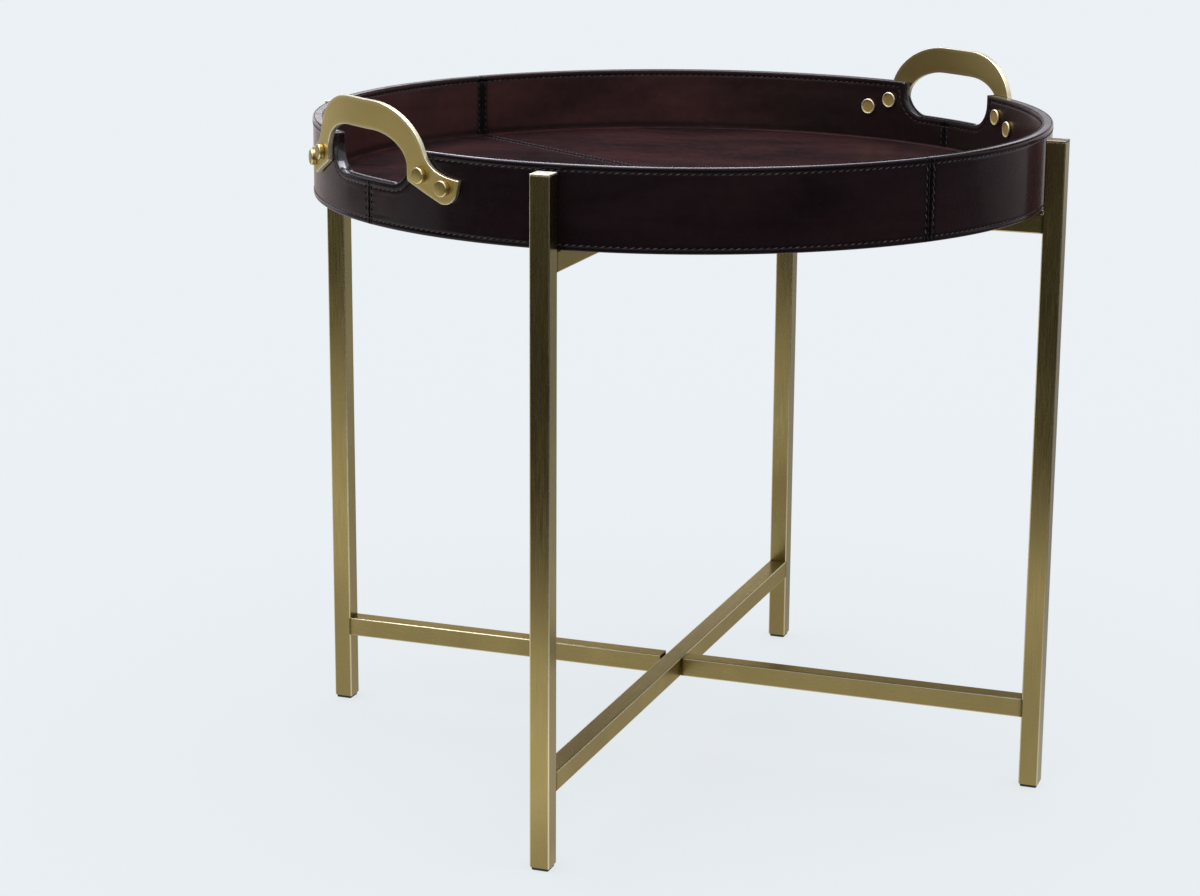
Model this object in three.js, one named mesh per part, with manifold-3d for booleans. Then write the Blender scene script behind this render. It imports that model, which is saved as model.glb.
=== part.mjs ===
// A butler's tray table: a round leather-covered tray with brass handles, standing loose on a stand of
// square brass tube. Millimetres, +Z up, the origin on the floor under the middle of the table. The
// bars run along X and Y, with a leg at each end of both.
import * as THREE from "three";
import { mergeVertices } from "three/addons/utils/BufferGeometryUtils.js";
import Module from "manifold-3d";

const wasm = await Module();
wasm.setup();

// Stand: square tube, one leg at each end of two crossed pairs of bars
const tubeWidth = 16;
const tubeWall = 1.2;
const tubeCornerRadius = 1.2;
const standHeight = 535;
const legRise = 58; // of the legs above the upper bars, beside the tray
const legClearance = 2; // between the legs and the tray's wall
const lowerBarUnderside = 60;
const capThickness = 1.5;
const lapClearance = 0.3; // round a bar that passes through the notch of another
const lapSlit = 3; // the open end of the left-right bars' notches

// Plastic feet, each a plate under the leg with a ribbed plug in the tube
const glideThickness = 2;
const glideChamfer = 0.5;
const plugHeight = 12;
const plugCoreWidth = 10.6;
const plugClearance = 0.3;
const ribThickness = 1.1;
const ribCount = 3;

// Tray: round, with a hoop of bent wood round a board, all covered in leather
const trayRadius = 300;
const wallHeight = 63;
const boardThickness = 7;
const hoopThickness = 5.5;
const wallLeather = 1.4;
const liningLeather = 1.3;
const floorLeather = 1.5;
const coverLeather = 1.2;
const edgingLeather = 1.3;
const layerGap = 0.3; // glue line between layers, and the gap under what rests on another piece
const seamGap = 0.5; // between leather panels sewn edge to edge
const rimRounding = 0.9; // rounded top edges of the wall
const floorRollWidth = 4.5; // the floor leather's edge, pushed up where it meets the lining
const floorRollHeight = 1;
const seamAngle = 56.5; // degrees from +X to a seam of the wall; the others are a quarter turn apart
const wallPanelCount = 4;
const floorPanelCount = 2;

// Handles: an arch between two feet, with two rivets in each foot. Reaches run along the wall from the
// handle's middle, and drops down from the top of the wall.
const handleAngle = 55.5; // degrees from +X to the middle of the right handle
const handleThickness = 4;
const gripRise = 33;
const gripDepth = 22;
const gripFlatHalf = 17; // half the straight length of the grip
const archHalfGap = 58; // half the gap between the arch's arms
const armWidth = 18.5; // where the outer arch would stand upright
const outerArchDrop = 44; // from the top of the grip to that place
const innerArchDrop = 24; // from the grip's underside to where the gap is widest
const archEndAngle = 17; // degrees above level where the outer arch runs into the foot
const sweepEase = 14; // how far the arch's direction carries into the foot's sweep
const footCornerDrop = 22.5;
const rivetMargin = 14; // from the gap to the inner rivet
const rivetDrop = 17; // of the inner rivet
const rivetPitch = 22.5; // from the inner rivet to the outer one, along the wall
const rivetFall = 7.5; // of the outer rivet below the inner one
const tipOverhang = 14.5; // past the outer rivet
const tipLift = 6.5; // above the outer rivet
const tipEase = 20;
const tipSlope = 5; // degrees that the foot's upper edge falls towards its tip
const toeRadius = 12.2; // round the outer rivet
const toeStartAngle = -12; // degrees, at the tip's side
const toeEndAngle = -112;

// Cut-outs in the wall under the handles
const cutoutMargin = 3; // of the wall that shows inside the arch's gap
const cutoutDepth = 27.5;
const cutoutCornerRadius = 20;

// Rivets: a head with a hollow barrel outside, a cap with a stud inside
const rivetHeadRadius = 6.2;
const rivetHeadHeight = 4.3;
const rivetHeadRounding = 0.9;
const barrelRadius = 2.8;
const barrelBoreRadius = 1.7;
const barrelClearance = 0.3;
const rivetCapRadius = 6.8;
const rivetCapThickness = 1.8;
const rivetCapRimWidth = 1.3;
const rivetCapDish = 0.5;
const studRadius = 1.4;
const studLength = 9;

// Facets, and the one length by which every cutter overruns what it cuts
const ringSegments = 88;
const rivetSegments = 16;
const holeSegments = 12;
const arcSegments = 3; // per eighth of a turn
const cornerSegments = 1; // per eighth of a turn, on the small corners of a tube
const curveSteps = 8; // along each curve of a handle
const roundingSteps = 2; // on each rounded edge of a turned piece
const overrun = 5;

// Places that follow from the sizes
const halfTube = tubeWidth / 2;
const legReach = trayRadius + legClearance + halfTube;
const upperBarTop = standHeight - legRise;
const trayUnderside = upperBarTop + layerGap;
const rimTop = trayUnderside + wallHeight;
const boardUnderside = trayUnderside + coverLeather + layerGap;
const floorUnderside = boardUnderside + boardThickness + layerGap;
const floorTop = floorUnderside + floorLeather;
const hoopTop = rimTop - liningLeather - layerGap;
const hoopOuter = trayRadius - wallLeather - layerGap;
const hoopInner = hoopOuter - hoopThickness;
const liningOuter = hoopInner - layerGap;
const liningInner = liningOuter - liningLeather;
const handleInner = trayRadius + layerGap;
const handleOuter = handleInner + handleThickness;
const archReach = archHalfGap + armWidth;
const innerRivetReach = archHalfGap + rivetMargin;
const outerRivetReach = innerRivetReach + rivetPitch;
const outerRivetDrop = rivetDrop + rivetFall;
const cutoutHalfWidth = archHalfGap - cutoutMargin;
const wallPanelSweep = 360 / wallPanelCount;
const floorPanelSweep = 360 / floorPanelCount;

const radians = THREE.MathUtils.degToRad;

// Materials
function standBrass() {
  return new THREE.MeshStandardMaterial({ color: 0x7d6f42, roughness: 0.38, metalness: 1 });
}

function handleBrass() {
  return new THREE.MeshStandardMaterial({ color: 0x94824a, roughness: 0.35, metalness: 1 });
}

function blackPlastic() {
  return new THREE.MeshStandardMaterial({ color: 0x151515, roughness: 0.6, metalness: 0 });
}

function paleWood() {
  return new THREE.MeshStandardMaterial({ color: 0xb08d60, roughness: 0.8, metalness: 0 });
}

function wallHide() {
  return new THREE.MeshStandardMaterial({ color: 0x2a171b, roughness: 0.35, metalness: 0 });
}

function liningHide() {
  return new THREE.MeshStandardMaterial({ color: 0x3a2021, roughness: 0.4, metalness: 0 });
}

function floorHide() {
  return new THREE.MeshStandardMaterial({ color: 0x45292a, roughness: 0.38, metalness: 0 });
}

function undersideHide() {
  return new THREE.MeshStandardMaterial({ color: 0x1d1416, roughness: 0.8, metalness: 0 });
}

// A closed geometry as a solid that can be joined and cut.
function solid(geometry) {
  geometry.deleteAttribute("normal");
  geometry.deleteAttribute("uv");
  const merged = mergeVertices(geometry);
  return new wasm.Manifold(
    new wasm.Mesh({
      numProp: 3,
      vertProperties: new Float32Array(merged.attributes.position.array),
      triVerts: new Uint32Array(merged.index.array),
    }),
  );
}

function addPiece(group, name, body, material) {
  const made = body.getMesh();
  const geometry = new THREE.BufferGeometry();
  geometry.setAttribute("position", new THREE.BufferAttribute(new Float32Array(made.vertProperties), 3));
  geometry.setIndex(new THREE.BufferAttribute(new Uint32Array(made.triVerts), 1));
  geometry.computeVertexNormals();
  const mesh = new THREE.Mesh(geometry, material);
  mesh.name = name;
  group.add(mesh);
}

// A flat outline raised straight up between two heights.
function prism(shape, low, high, curveSegments = arcSegments) {
  const geometry = new THREE.ExtrudeGeometry(shape, {
    depth: high - low,
    bevelEnabled: false,
    curveSegments,
  });
  return geometry.translate(0, 0, low);
}

function block(low, high) {
  const size = high.clone().sub(low);
  const middle = low.clone().add(high).divideScalar(2);
  return solid(new THREE.BoxGeometry(size.x, size.y, size.z).translate(middle.x, middle.y, middle.z));
}

// A closed outline of radius and height pairs, anticlockwise, turned about the Z axis.
function ring(outline) {
  const points = [...outline, outline[0]].map(([radius, height]) => new THREE.Vector2(radius, height));
  return solid(new THREE.LatheGeometry(points, ringSegments).rotateX(Math.PI / 2));
}

// The geometry turned about the Z axis from an outline that starts and ends on it.
function turned(outline, segments) {
  const points = outline.map(([radius, height]) => new THREE.Vector2(radius, height));
  return new THREE.LatheGeometry(points, segments).rotateX(Math.PI / 2);
}

// The points of a quarter round that starts at an angle about its centre, for an edge of a turned piece.
function rounded(centreX, centreY, radius, fromDegrees) {
  return Array.from({ length: roundingSteps + 1 }, (_, i) => {
    const angle = radians(fromDegrees + (90 * i) / roundingSteps);
    return [centreX + radius * Math.cos(angle), centreY + radius * Math.sin(angle)];
  });
}

// A prism of the tray's full height over the sector from one angle on, its straight sides drawn in by
// half a gap.
function sector(fromDegrees, sweepDegrees, gap) {
  const middle = radians(fromDegrees + sweepDegrees / 2);
  const apexReach = gap / 2 / Math.sin(radians(sweepDegrees / 2));
  const far = 2 * (handleOuter + rivetHeadHeight);
  const apex = new THREE.Vector2(Math.cos(middle), Math.sin(middle)).multiplyScalar(apexReach);
  const corners = [fromDegrees, fromDegrees + sweepDegrees / 2, fromDegrees + sweepDegrees].map((angle) => {
    const direction = new THREE.Vector2(Math.cos(radians(angle)), Math.sin(radians(angle)));
    return direction.multiplyScalar(far).add(apex);
  });
  return solid(prism(new THREE.Shape([apex, ...corners]), trayUnderside - overrun, rimTop + overrun));
}

// An outline of reach along the wall and height, carried outwards along the wall's radii between two
// radii, so that its sides point at the table's axis all round. The outer radius is enlarged until the
// flat end lies outside it.
function radialPrism(shape, innerRadius, outerRadius, middleDegrees) {
  const geometry = prism(shape, 0, 1);
  const places = geometry.attributes.position;
  const reaches = Array.from({ length: places.count }, (_, i) => Math.abs(places.getX(i)));
  const halfAngle = Math.max(...reaches) / trayRadius;
  const far = outerRadius / Math.cos(halfAngle);
  for (let i = 0; i < places.count; i++) {
    const angle = radians(middleDegrees) + places.getX(i) / trayRadius;
    const radius = THREE.MathUtils.lerp(innerRadius, far, places.getZ(i));
    places.setXYZ(i, radius * Math.cos(angle), radius * Math.sin(angle), places.getY(i));
  }
  return solid(geometry);
}

// A geometry whose +Z axis is turned outwards along the tray's radius at an angle and a height.
function alongRadius(geometry, degrees, height) {
  return solid(geometry.rotateY(Math.PI / 2).rotateZ(radians(degrees)).translate(0, 0, height));
}

// A square with rounded corners, centred on the origin.
function roundedSquare(width, radius) {
  const half = width / 2;
  const inner = half - radius;
  const shape = new THREE.Shape();
  shape.absarc(inner, inner, radius, 0, Math.PI / 2, false);
  shape.absarc(-inner, inner, radius, Math.PI / 2, Math.PI, false);
  shape.absarc(-inner, -inner, radius, Math.PI, (3 * Math.PI) / 2, false);
  shape.absarc(inner, -inner, radius, (3 * Math.PI) / 2, 2 * Math.PI, false);
  return shape;
}

function square(width) {
  const half = width / 2;
  return [
    new THREE.Vector2(-half, -half),
    new THREE.Vector2(half, -half),
    new THREE.Vector2(half, half),
    new THREE.Vector2(-half, half),
  ];
}

// Square tube along Z between two places, and turned along X or Y by its last argument.
function tube(low, high, turn = (geometry) => geometry) {
  const outside = prism(roundedSquare(tubeWidth, tubeCornerRadius), low, high, cornerSegments);
  const bore = prism(new THREE.Shape(square(tubeWidth - 2 * tubeWall)), low - overrun, high + overrun);
  return solid(turn(outside)).subtract(solid(turn(bore)));
}

const sides = [
  { name: "front", x: 0, y: -legReach },
  { name: "right", x: legReach, y: 0 },
  { name: "back", x: 0, y: legReach },
  { name: "left", x: -legReach, y: 0 },
];

function leg(side) {
  return tube(glideThickness, standHeight - capThickness, (length) => length.translate(side.x, side.y, 0));
}

function legCap(side) {
  const outline = roundedSquare(tubeWidth, tubeCornerRadius);
  const plate = prism(outline, standHeight - capThickness, standHeight, cornerSegments);
  return solid(plate.translate(side.x, side.y, 0));
}

// A foot: a plate with chamfered edges, and a core with thin ribs that grip the inside of the tube.
function glide(side) {
  const plate = new THREE.ExtrudeGeometry(
    roundedSquare(tubeWidth - 2 * glideChamfer, tubeCornerRadius - glideChamfer),
    {
      depth: glideThickness - 2 * glideChamfer,
      bevelThickness: glideChamfer,
      bevelSize: glideChamfer,
      bevelSegments: 1,
      curveSegments: cornerSegments,
    },
  ).translate(0, 0, glideChamfer);
  const plugTop = glideThickness + plugHeight;
  const core = prism(new THREE.Shape(square(plugCoreWidth)), glideThickness / 2, plugTop);
  const ribSpacing = plugHeight / ribCount;
  const ribWidth = tubeWidth - 2 * tubeWall - 2 * plugClearance;
  let foot = solid(plate).add(solid(core));
  for (let i = 0; i < ribCount; i++) {
    const low = glideThickness + ribSpacing * (i + 1 / 2) - ribThickness / 2;
    foot = foot.add(solid(prism(new THREE.Shape(square(ribWidth)), low, low + ribThickness)));
  }
  return foot.translate([side.x, side.y, 0]);
}

// A bar between two opposite legs, with its underside at a height. The bar from front to back runs over
// the other one, so the notch is in its lower half and in the upper half of the other.
function bar(alongX, underside) {
  const half = legReach - halfTube;
  const middle = underside + halfTube;
  const whole = tube(-half, half, (length) => {
    const laid = alongX ? length.rotateY(Math.PI / 2) : length.rotateX(Math.PI / 2);
    return laid.translate(0, 0, middle);
  });
  const side = halfTube + lapClearance;
  const notch = alongX
    ? block(
        new THREE.Vector3(-halfTube - lapSlit, -halfTube - overrun, middle),
        new THREE.Vector3(side, halfTube + overrun, middle + halfTube + overrun),
      )
    : block(
        new THREE.Vector3(-halfTube - overrun, -side, middle - halfTube - overrun),
        new THREE.Vector3(halfTube + overrun, side, middle),
      );
  return whole.subtract(notch);
}

function addStand(table) {
  const stand = new THREE.Group();
  const brass = standBrass();
  const plastic = blackPlastic();
  for (const side of sides) {
    addPiece(stand, `leg_${side.name}`, leg(side), brass);
    addPiece(stand, `leg_cap_${side.name}`, legCap(side), brass);
    addPiece(stand, `glide_${side.name}`, glide(side), plastic);
  }
  const levels = [
    { name: "lower", underside: lowerBarUnderside },
    { name: "upper", underside: upperBarTop - tubeWidth },
  ];
  for (const level of levels) {
    addPiece(stand, `${level.name}_bar_front_back`, bar(false, level.underside), brass);
    addPiece(stand, `${level.name}_bar_left_right`, bar(true, level.underside), brass);
  }
  table.add(stand);
}

// The U of a cut-out, open at the top of the wall, drawn larger all round by an offset.
function cutoutShape(offset) {
  const half = cutoutHalfWidth + offset;
  const low = rimTop - cutoutDepth - offset;
  const radius = cutoutCornerRadius + offset;
  const shape = new THREE.Shape();
  shape.moveTo(half, rimTop + overrun);
  shape.lineTo(-half, rimTop + overrun);
  shape.absarc(-half + radius, low + radius, radius, Math.PI, (3 * Math.PI) / 2, false);
  shape.absarc(half - radius, low + radius, radius, (3 * Math.PI) / 2, 2 * Math.PI, false);
  return shape;
}

const handles = [
  { name: "right", angle: handleAngle },
  { name: "left", angle: handleAngle + 180 },
];

function cutout(handle, offset) {
  return radialPrism(cutoutShape(offset), liningInner - overrun, trayRadius + overrun, handle.angle);
}

// Each rivet's angle and height, numbered from the handle's left foot as seen from outside.
function rivetPlaces(handle) {
  return [
    { reach: -outerRivetReach, drop: outerRivetDrop },
    { reach: -innerRivetReach, drop: rivetDrop },
    { reach: innerRivetReach, drop: rivetDrop },
    { reach: outerRivetReach, drop: outerRivetDrop },
  ].map(({ reach, drop }, i) => ({
    name: `${handle.name}_${i + 1}`,
    angle: handle.angle + THREE.MathUtils.radToDeg(reach / trayRadius),
    height: rimTop - drop,
  }));
}

function rivetHole(place) {
  const low = liningInner - overrun;
  const high = handleOuter + overrun;
  const radius = barrelRadius + barrelClearance;
  const cutter = new THREE.CylinderGeometry(radius, radius, high - low, holeSegments);
  cutter.rotateX(Math.PI / 2).translate(0, 0, (low + high) / 2);
  return alongRadius(cutter, place.angle, place.height);
}

// A layer of the wall with the cut-outs and the rivet holes taken out.
function pierced(layer) {
  let left = layer;
  for (const handle of handles) {
    left = left.subtract(cutout(handle, edgingLeather + layerGap));
    for (const place of rivetPlaces(handle)) left = left.subtract(rivetHole(place));
  }
  return left;
}

function hoop() {
  return pierced(
    ring([
      [hoopInner, boardUnderside],
      [hoopOuter, boardUnderside],
      [hoopOuter, hoopTop],
      [hoopInner, hoopTop],
    ]),
  );
}

function disc(radius, low, high) {
  return solid(
    turned(
      [
        [0, low],
        [radius, low],
        [radius, high],
        [0, high],
      ],
      ringSegments,
    ),
  );
}

// The leather round the outside, as a whole ring before it is parted at the seams.
function outerLeather() {
  const inner = trayRadius - wallLeather;
  return pierced(
    ring([
      [inner, trayUnderside],
      [trayRadius, trayUnderside],
      ...rounded(trayRadius - rimRounding, rimTop - rimRounding, rimRounding, 0),
      [inner, rimTop],
    ]),
  );
}

// The lining, which stands on the board and folds over the hoop to the outer leather.
function lining() {
  const foldEdge = trayRadius - wallLeather - layerGap;
  return pierced(
    ring([
      [liningInner, floorUnderside],
      [liningOuter, floorUnderside],
      [liningOuter, rimTop - liningLeather],
      [foldEdge, rimTop - liningLeather],
      [foldEdge, rimTop],
      ...rounded(liningInner + rimRounding, rimTop - rimRounding, rimRounding, 90),
    ]),
  );
}

// The floor leather as a whole disc, with its edge rolled up against the lining.
function floorDisc() {
  const edge = liningInner - layerGap;
  return solid(
    turned(
      [
        [0, floorUnderside],
        [edge, floorUnderside],
        [edge, floorTop + floorRollHeight / 2],
        [edge - floorRollWidth / 3, floorTop + floorRollHeight],
        [edge - floorRollWidth, floorTop],
        [0, floorTop],
      ],
      ringSegments,
    ),
  );
}

function edging(handle) {
  const wall = ring([
    [liningInner, trayUnderside],
    [trayRadius, trayUnderside],
    [trayRadius, rimTop],
    [liningInner, rimTop],
  ]);
  return wall.intersect(cutout(handle, edgingLeather)).subtract(cutout(handle, 0));
}

// Half of the handle's outline, from the middle of its top round the foot to the middle of its arch.
function handleHalf() {
  const top = rimTop + gripRise;
  const outerCentre = top - outerArchDrop;
  const archEnd = radians(archEndAngle);
  const outerArch = new THREE.EllipseCurve(
    gripFlatHalf,
    outerCentre,
    archReach - gripFlatHalf,
    outerArchDrop,
    Math.PI / 2,
    archEnd,
    true,
  );
  const archPoints = outerArch.getPoints(curveSteps);
  const neck = archPoints.at(-1);
  const neckDirection = new THREE.Vector2(
    (archReach - gripFlatHalf) * Math.sin(archEnd),
    -outerArchDrop * Math.cos(archEnd),
  ).normalize();
  const tip = new THREE.Vector2(outerRivetReach + tipOverhang, rimTop - outerRivetDrop + tipLift);
  const slope = new THREE.Vector2(-Math.cos(radians(tipSlope)), Math.sin(radians(tipSlope)));
  const sweep = new THREE.CubicBezierCurve(
    neck,
    neckDirection.multiplyScalar(sweepEase).add(neck),
    slope.multiplyScalar(tipEase).add(tip),
    tip,
  );
  const toe = new THREE.EllipseCurve(
    outerRivetReach,
    rimTop - outerRivetDrop,
    toeRadius,
    toeRadius,
    radians(toeStartAngle),
    radians(toeEndAngle),
    true,
  );
  const gripUnderside = top - gripDepth;
  const innerArch = new THREE.EllipseCurve(
    gripFlatHalf,
    gripUnderside - innerArchDrop,
    archHalfGap - gripFlatHalf,
    innerArchDrop,
    0,
    Math.PI / 2,
    false,
  );
  return [
    ...archPoints,
    ...sweep.getPoints(curveSteps).slice(1),
    ...toe.getPoints(curveSteps),
    new THREE.Vector2(archHalfGap, rimTop - footCornerDrop),
    ...innerArch.getPoints(curveSteps),
  ];
}

// A handle: a ring as thick as the plate, cut to the outline, with its rivet holes.
function handlePlate(handle) {
  const half = handleHalf();
  const mirrored = half.map((point) => new THREE.Vector2(-point.x, point.y)).reverse();
  const outline = new THREE.Shape([...half, ...mirrored]);
  const blank = ring([
    [handleInner, trayUnderside],
    [handleOuter, trayUnderside],
    [handleOuter, rimTop + gripRise + overrun],
    [handleInner, rimTop + gripRise + overrun],
  ]);
  const cutter = radialPrism(outline, handleInner - overrun, handleOuter + overrun, handle.angle);
  let plate = blank.intersect(cutter);
  for (const place of rivetPlaces(handle)) plate = plate.subtract(rivetHole(place));
  return plate;
}

// The outside half of a rivet. Its outline's heights are distances from the table's axis.
function rivetPost(place) {
  const barrelEnd = liningInner;
  const headLow = handleOuter + layerGap;
  const headHigh = headLow + rivetHeadHeight;
  const boreEnd = liningInner - layerGap + studLength + barrelClearance;
  const post = turned(
    [
      [0, boreEnd],
      [barrelBoreRadius, boreEnd],
      [barrelBoreRadius, barrelEnd],
      [barrelRadius, barrelEnd],
      [barrelRadius, headLow],
      [rivetHeadRadius, headLow],
      ...rounded(rivetHeadRadius - rivetHeadRounding, headHigh - rivetHeadRounding, rivetHeadRounding, 0),
      [0, headHigh],
    ],
    rivetSegments,
  );
  return alongRadius(post, place.angle, place.height);
}

// The inside half: a cap dished inside its rim, with a stud that fits the barrel.
function rivetCap(place) {
  const back = liningInner - layerGap;
  const face = back - rivetCapThickness;
  const cap = turned(
    [
      [0, face + rivetCapDish],
      [rivetCapRadius - rivetCapRimWidth, face + rivetCapDish],
      [rivetCapRadius - rivetCapRimWidth / 2, face],
      [rivetCapRadius, face + rivetCapDish / 2],
      [rivetCapRadius, back],
      [studRadius, back],
      [studRadius, back + studLength],
      [0, back + studLength],
    ],
    rivetSegments,
  );
  return alongRadius(cap, place.angle, place.height);
}

function addWallPanels(tray) {
  const outside = outerLeather();
  const inside = lining();
  const outsideHide = wallHide();
  const insideHide = liningHide();
  ["back", "left", "front", "right"].forEach((name, i) => {
    const part = sector(seamAngle + wallPanelSweep * i, wallPanelSweep, seamGap);
    addPiece(tray, `wall_leather_${name}`, outside.intersect(part), outsideHide);
    addPiece(tray, `lining_${name}`, inside.intersect(part), insideHide);
  });
}

function addFloor(tray) {
  const whole = floorDisc();
  const hide = floorHide();
  const seam = seamAngle - wallPanelSweep;
  ["right", "left"].forEach((name, i) => {
    const part = sector(seam + floorPanelSweep * i, floorPanelSweep, seamGap);
    addPiece(tray, `floor_leather_${name}`, whole.intersect(part), hide);
  });
}

function addHandles(tray) {
  const brass = handleBrass();
  const hide = wallHide();
  for (const handle of handles) {
    addPiece(tray, `cutout_edging_${handle.name}`, edging(handle), hide);
    addPiece(tray, `handle_${handle.name}`, handlePlate(handle), brass);
    for (const place of rivetPlaces(handle)) {
      addPiece(tray, `rivet_${place.name}`, rivetPost(place), brass);
      addPiece(tray, `rivet_cap_${place.name}`, rivetCap(place), brass);
    }
  }
}

function addTray(table) {
  const tray = new THREE.Group();
  const wood = paleWood();
  const board = disc(hoopInner - layerGap, boardUnderside, boardUnderside + boardThickness);
  const cover = disc(hoopOuter, trayUnderside, trayUnderside + coverLeather);
  addPiece(tray, "base_board", board, wood);
  addPiece(tray, "rim_hoop", hoop(), wood);
  addPiece(tray, "underside_cover", cover, undersideHide());
  addFloor(tray);
  addWallPanels(tray);
  addHandles(tray);
  table.add(tray);
}

const table = new THREE.Group();
addStand(table);
addTray(table);

export default table;
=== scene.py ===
"""Looks of a butler's tray table: a round tray of oxblood leather on a stand of square brass tube.

Lengths of the table are in millimetres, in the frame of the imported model: +Z up, the origin on the floor
under the middle of the table. Meshes are written in metres, and the studio is given in metres.
"""

import logging
import math
from dataclasses import dataclass, field
from enum import Enum
from typing import Sequence

import bpy
import numpy as np
from mathutils import Matrix, Vector


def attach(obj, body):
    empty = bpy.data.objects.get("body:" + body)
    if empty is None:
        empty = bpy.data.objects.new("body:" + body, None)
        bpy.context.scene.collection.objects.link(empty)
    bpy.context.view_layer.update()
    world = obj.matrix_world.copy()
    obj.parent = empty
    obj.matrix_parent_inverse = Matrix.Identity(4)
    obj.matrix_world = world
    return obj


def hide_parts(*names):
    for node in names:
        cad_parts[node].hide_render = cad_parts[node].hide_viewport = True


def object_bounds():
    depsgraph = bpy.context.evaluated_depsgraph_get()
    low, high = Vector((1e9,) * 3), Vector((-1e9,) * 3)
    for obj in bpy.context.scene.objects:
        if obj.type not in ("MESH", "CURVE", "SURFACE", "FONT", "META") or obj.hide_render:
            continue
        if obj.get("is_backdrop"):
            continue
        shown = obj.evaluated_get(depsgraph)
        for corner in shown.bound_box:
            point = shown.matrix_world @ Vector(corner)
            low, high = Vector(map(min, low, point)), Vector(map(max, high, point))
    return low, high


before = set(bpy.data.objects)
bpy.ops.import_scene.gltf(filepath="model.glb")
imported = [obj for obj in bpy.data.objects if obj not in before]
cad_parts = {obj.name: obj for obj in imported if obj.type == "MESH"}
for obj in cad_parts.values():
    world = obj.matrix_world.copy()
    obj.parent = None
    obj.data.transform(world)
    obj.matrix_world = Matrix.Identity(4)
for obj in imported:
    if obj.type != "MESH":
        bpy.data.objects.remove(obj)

log = logging.getLogger("butler_tray")

Triple = tuple[float, float, float]
Socket = bpy.types.NodeSocket

MILLIMETRE = 0.001
TURN = 2.0 * math.pi
QUARTER = math.pi / 2
UPWARDS = np.array([0.0, 0.0, 1.0])
MIRROR = np.array([-1.0, 1.0])
SHORTEST = 1e-12


class Body(Enum):
    """The two rigid bodies of the table."""

    STAND = "stand"
    TRAY = "tray"


class Slot(Enum):
    """The material slots that a new piece can take its finish from."""

    STAND_BRASS = "stand_brass"
    HANDLE_BRASS = "handle_brass"
    GLIDE = "glide_plastic"
    WALL = "leather_wall"
    LINING = "leather_lining"
    FLOOR = "leather_floor"
    UNDERSIDE = "leather_underside"


class Along(Enum):
    """The direction in which a tube runs, and in which its metal was brushed."""

    X = 0
    Y = 1
    Z = 2


# Shapes that several pieces share


def quad_grid(rows: int, columns: int, close_rows: bool, close_columns: bool) -> np.ndarray:
    """Joins a grid of vertices, numbered row by row, with four-sided faces.

    Args:
        rows: How many rows the grid has.
        columns: How many vertices stand in a row.
        close_rows: Whether the last row is joined to the first.
        close_columns: Whether the end of a row is joined to its start.

    Returns:
        An array of faces with four vertex numbers each: (i, j), (i, j+1), (i+1, j+1), (i+1, j).
    """
    i = np.arange(rows if close_rows else rows - 1)[:, None]
    j = np.arange(columns if close_columns else columns - 1)[None, :]
    below, beside = (i + 1) % rows, (j + 1) % columns
    row, next_row = i * columns, below * columns
    faces = np.stack([row + j, row + beside, next_row + beside, next_row + j], -1)
    return faces.reshape(-1, 4)


def quarter_round(radius: float, steps: int) -> tuple[np.ndarray, np.ndarray]:
    """Draws a rounded edge, at angles a from 0 to 90 degrees.

    Args:
        radius: Its radius.
        steps: How many angles there are.

    Returns:
        The radius times 1 - cos a, which grows from 0, and times 1 - sin a, which falls to 0.
    """
    angle = np.linspace(0.0, QUARTER, steps)
    return radius * (1 - np.cos(angle)), radius * (1 - np.sin(angle))


def eased(distance: np.ndarray, radius: float) -> np.ndarray:
    """Shapes a rounded edge: how far a quarter round falls short of its side at a distance from its end."""
    t = np.clip(1.0 - distance / radius, 0.0, 1.0)
    return radius * (1.0 - np.sqrt(1.0 - t**2))


def lengths(path: np.ndarray) -> np.ndarray:
    """The length of a path up to each of its points."""
    return np.concatenate([[0.0], np.cumsum(np.linalg.norm(np.diff(path, axis=0), axis=1))])


def along_path(path: np.ndarray, at: np.ndarray) -> np.ndarray:
    """The points of a path at given lengths along it."""
    return np.stack([np.interp(at, lengths(path), line) for line in path.T], -1)


def mirrored(path: np.ndarray) -> np.ndarray:
    """Carries a path of reaches and heights, which starts at reach 0, on to the other side."""
    return np.concatenate([path[:0:-1] * MIRROR, path])


def ripple(along: np.ndarray, across: np.ndarray, seed: int, waves: int = 6) -> np.ndarray:
    """Makes a slow unevenness from -1 to 1, the mean of a few slanted sine waves of 25 to 120 mm.

    Args:
        along: Lengths in one direction.
        across: Lengths in the other.
        seed: The seed of the waves' directions.
        waves: How many there are.

    Returns:
        The height at each place.
    """
    random = np.random.default_rng(seed)
    total = np.zeros(np.broadcast(along, across).shape)
    for _ in range(waves):
        length = random.uniform(25.0, 120.0)
        turn, phase = random.uniform(0.0, TURN), random.uniform(0.0, TURN)
        total += np.sin(TURN / length * (along * math.cos(turn) + across * math.sin(turn)) + phase)
    return total / waves


def spaced(line: np.ndarray, pitch: float, trim: float = 0.0) -> tuple[np.ndarray, np.ndarray]:
    """Places points evenly along a line.

    Args:
        line: Points of the line, as (count, 3).
        pitch: The wished distance between two places.
        trim: What is left free at each end.

    Returns:
        The places, and the unit direction of the line at each.
    """
    room = lengths(line)[-1] - 2 * trim
    count = max(1, round(room / pitch))
    at = trim + (np.arange(count) + 0.5) * room / count
    way = along_path(line, at + 0.5) - along_path(line, at - 0.5)
    return along_path(line, at), way / np.linalg.norm(way, axis=1, keepdims=True)


@dataclass(frozen=True)
class Press:
    """A pressed line: at a distance d its depth is worth depth times exp(-((d - place) / width) ** power)."""

    place: float
    width: float
    depth: float = 1.0
    power: int = 2

    def at(self, distance: np.ndarray) -> np.ndarray:
        """The depth at some distances."""
        return self.depth * np.exp(-(((distance - self.place) / self.width) ** self.power))


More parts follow.
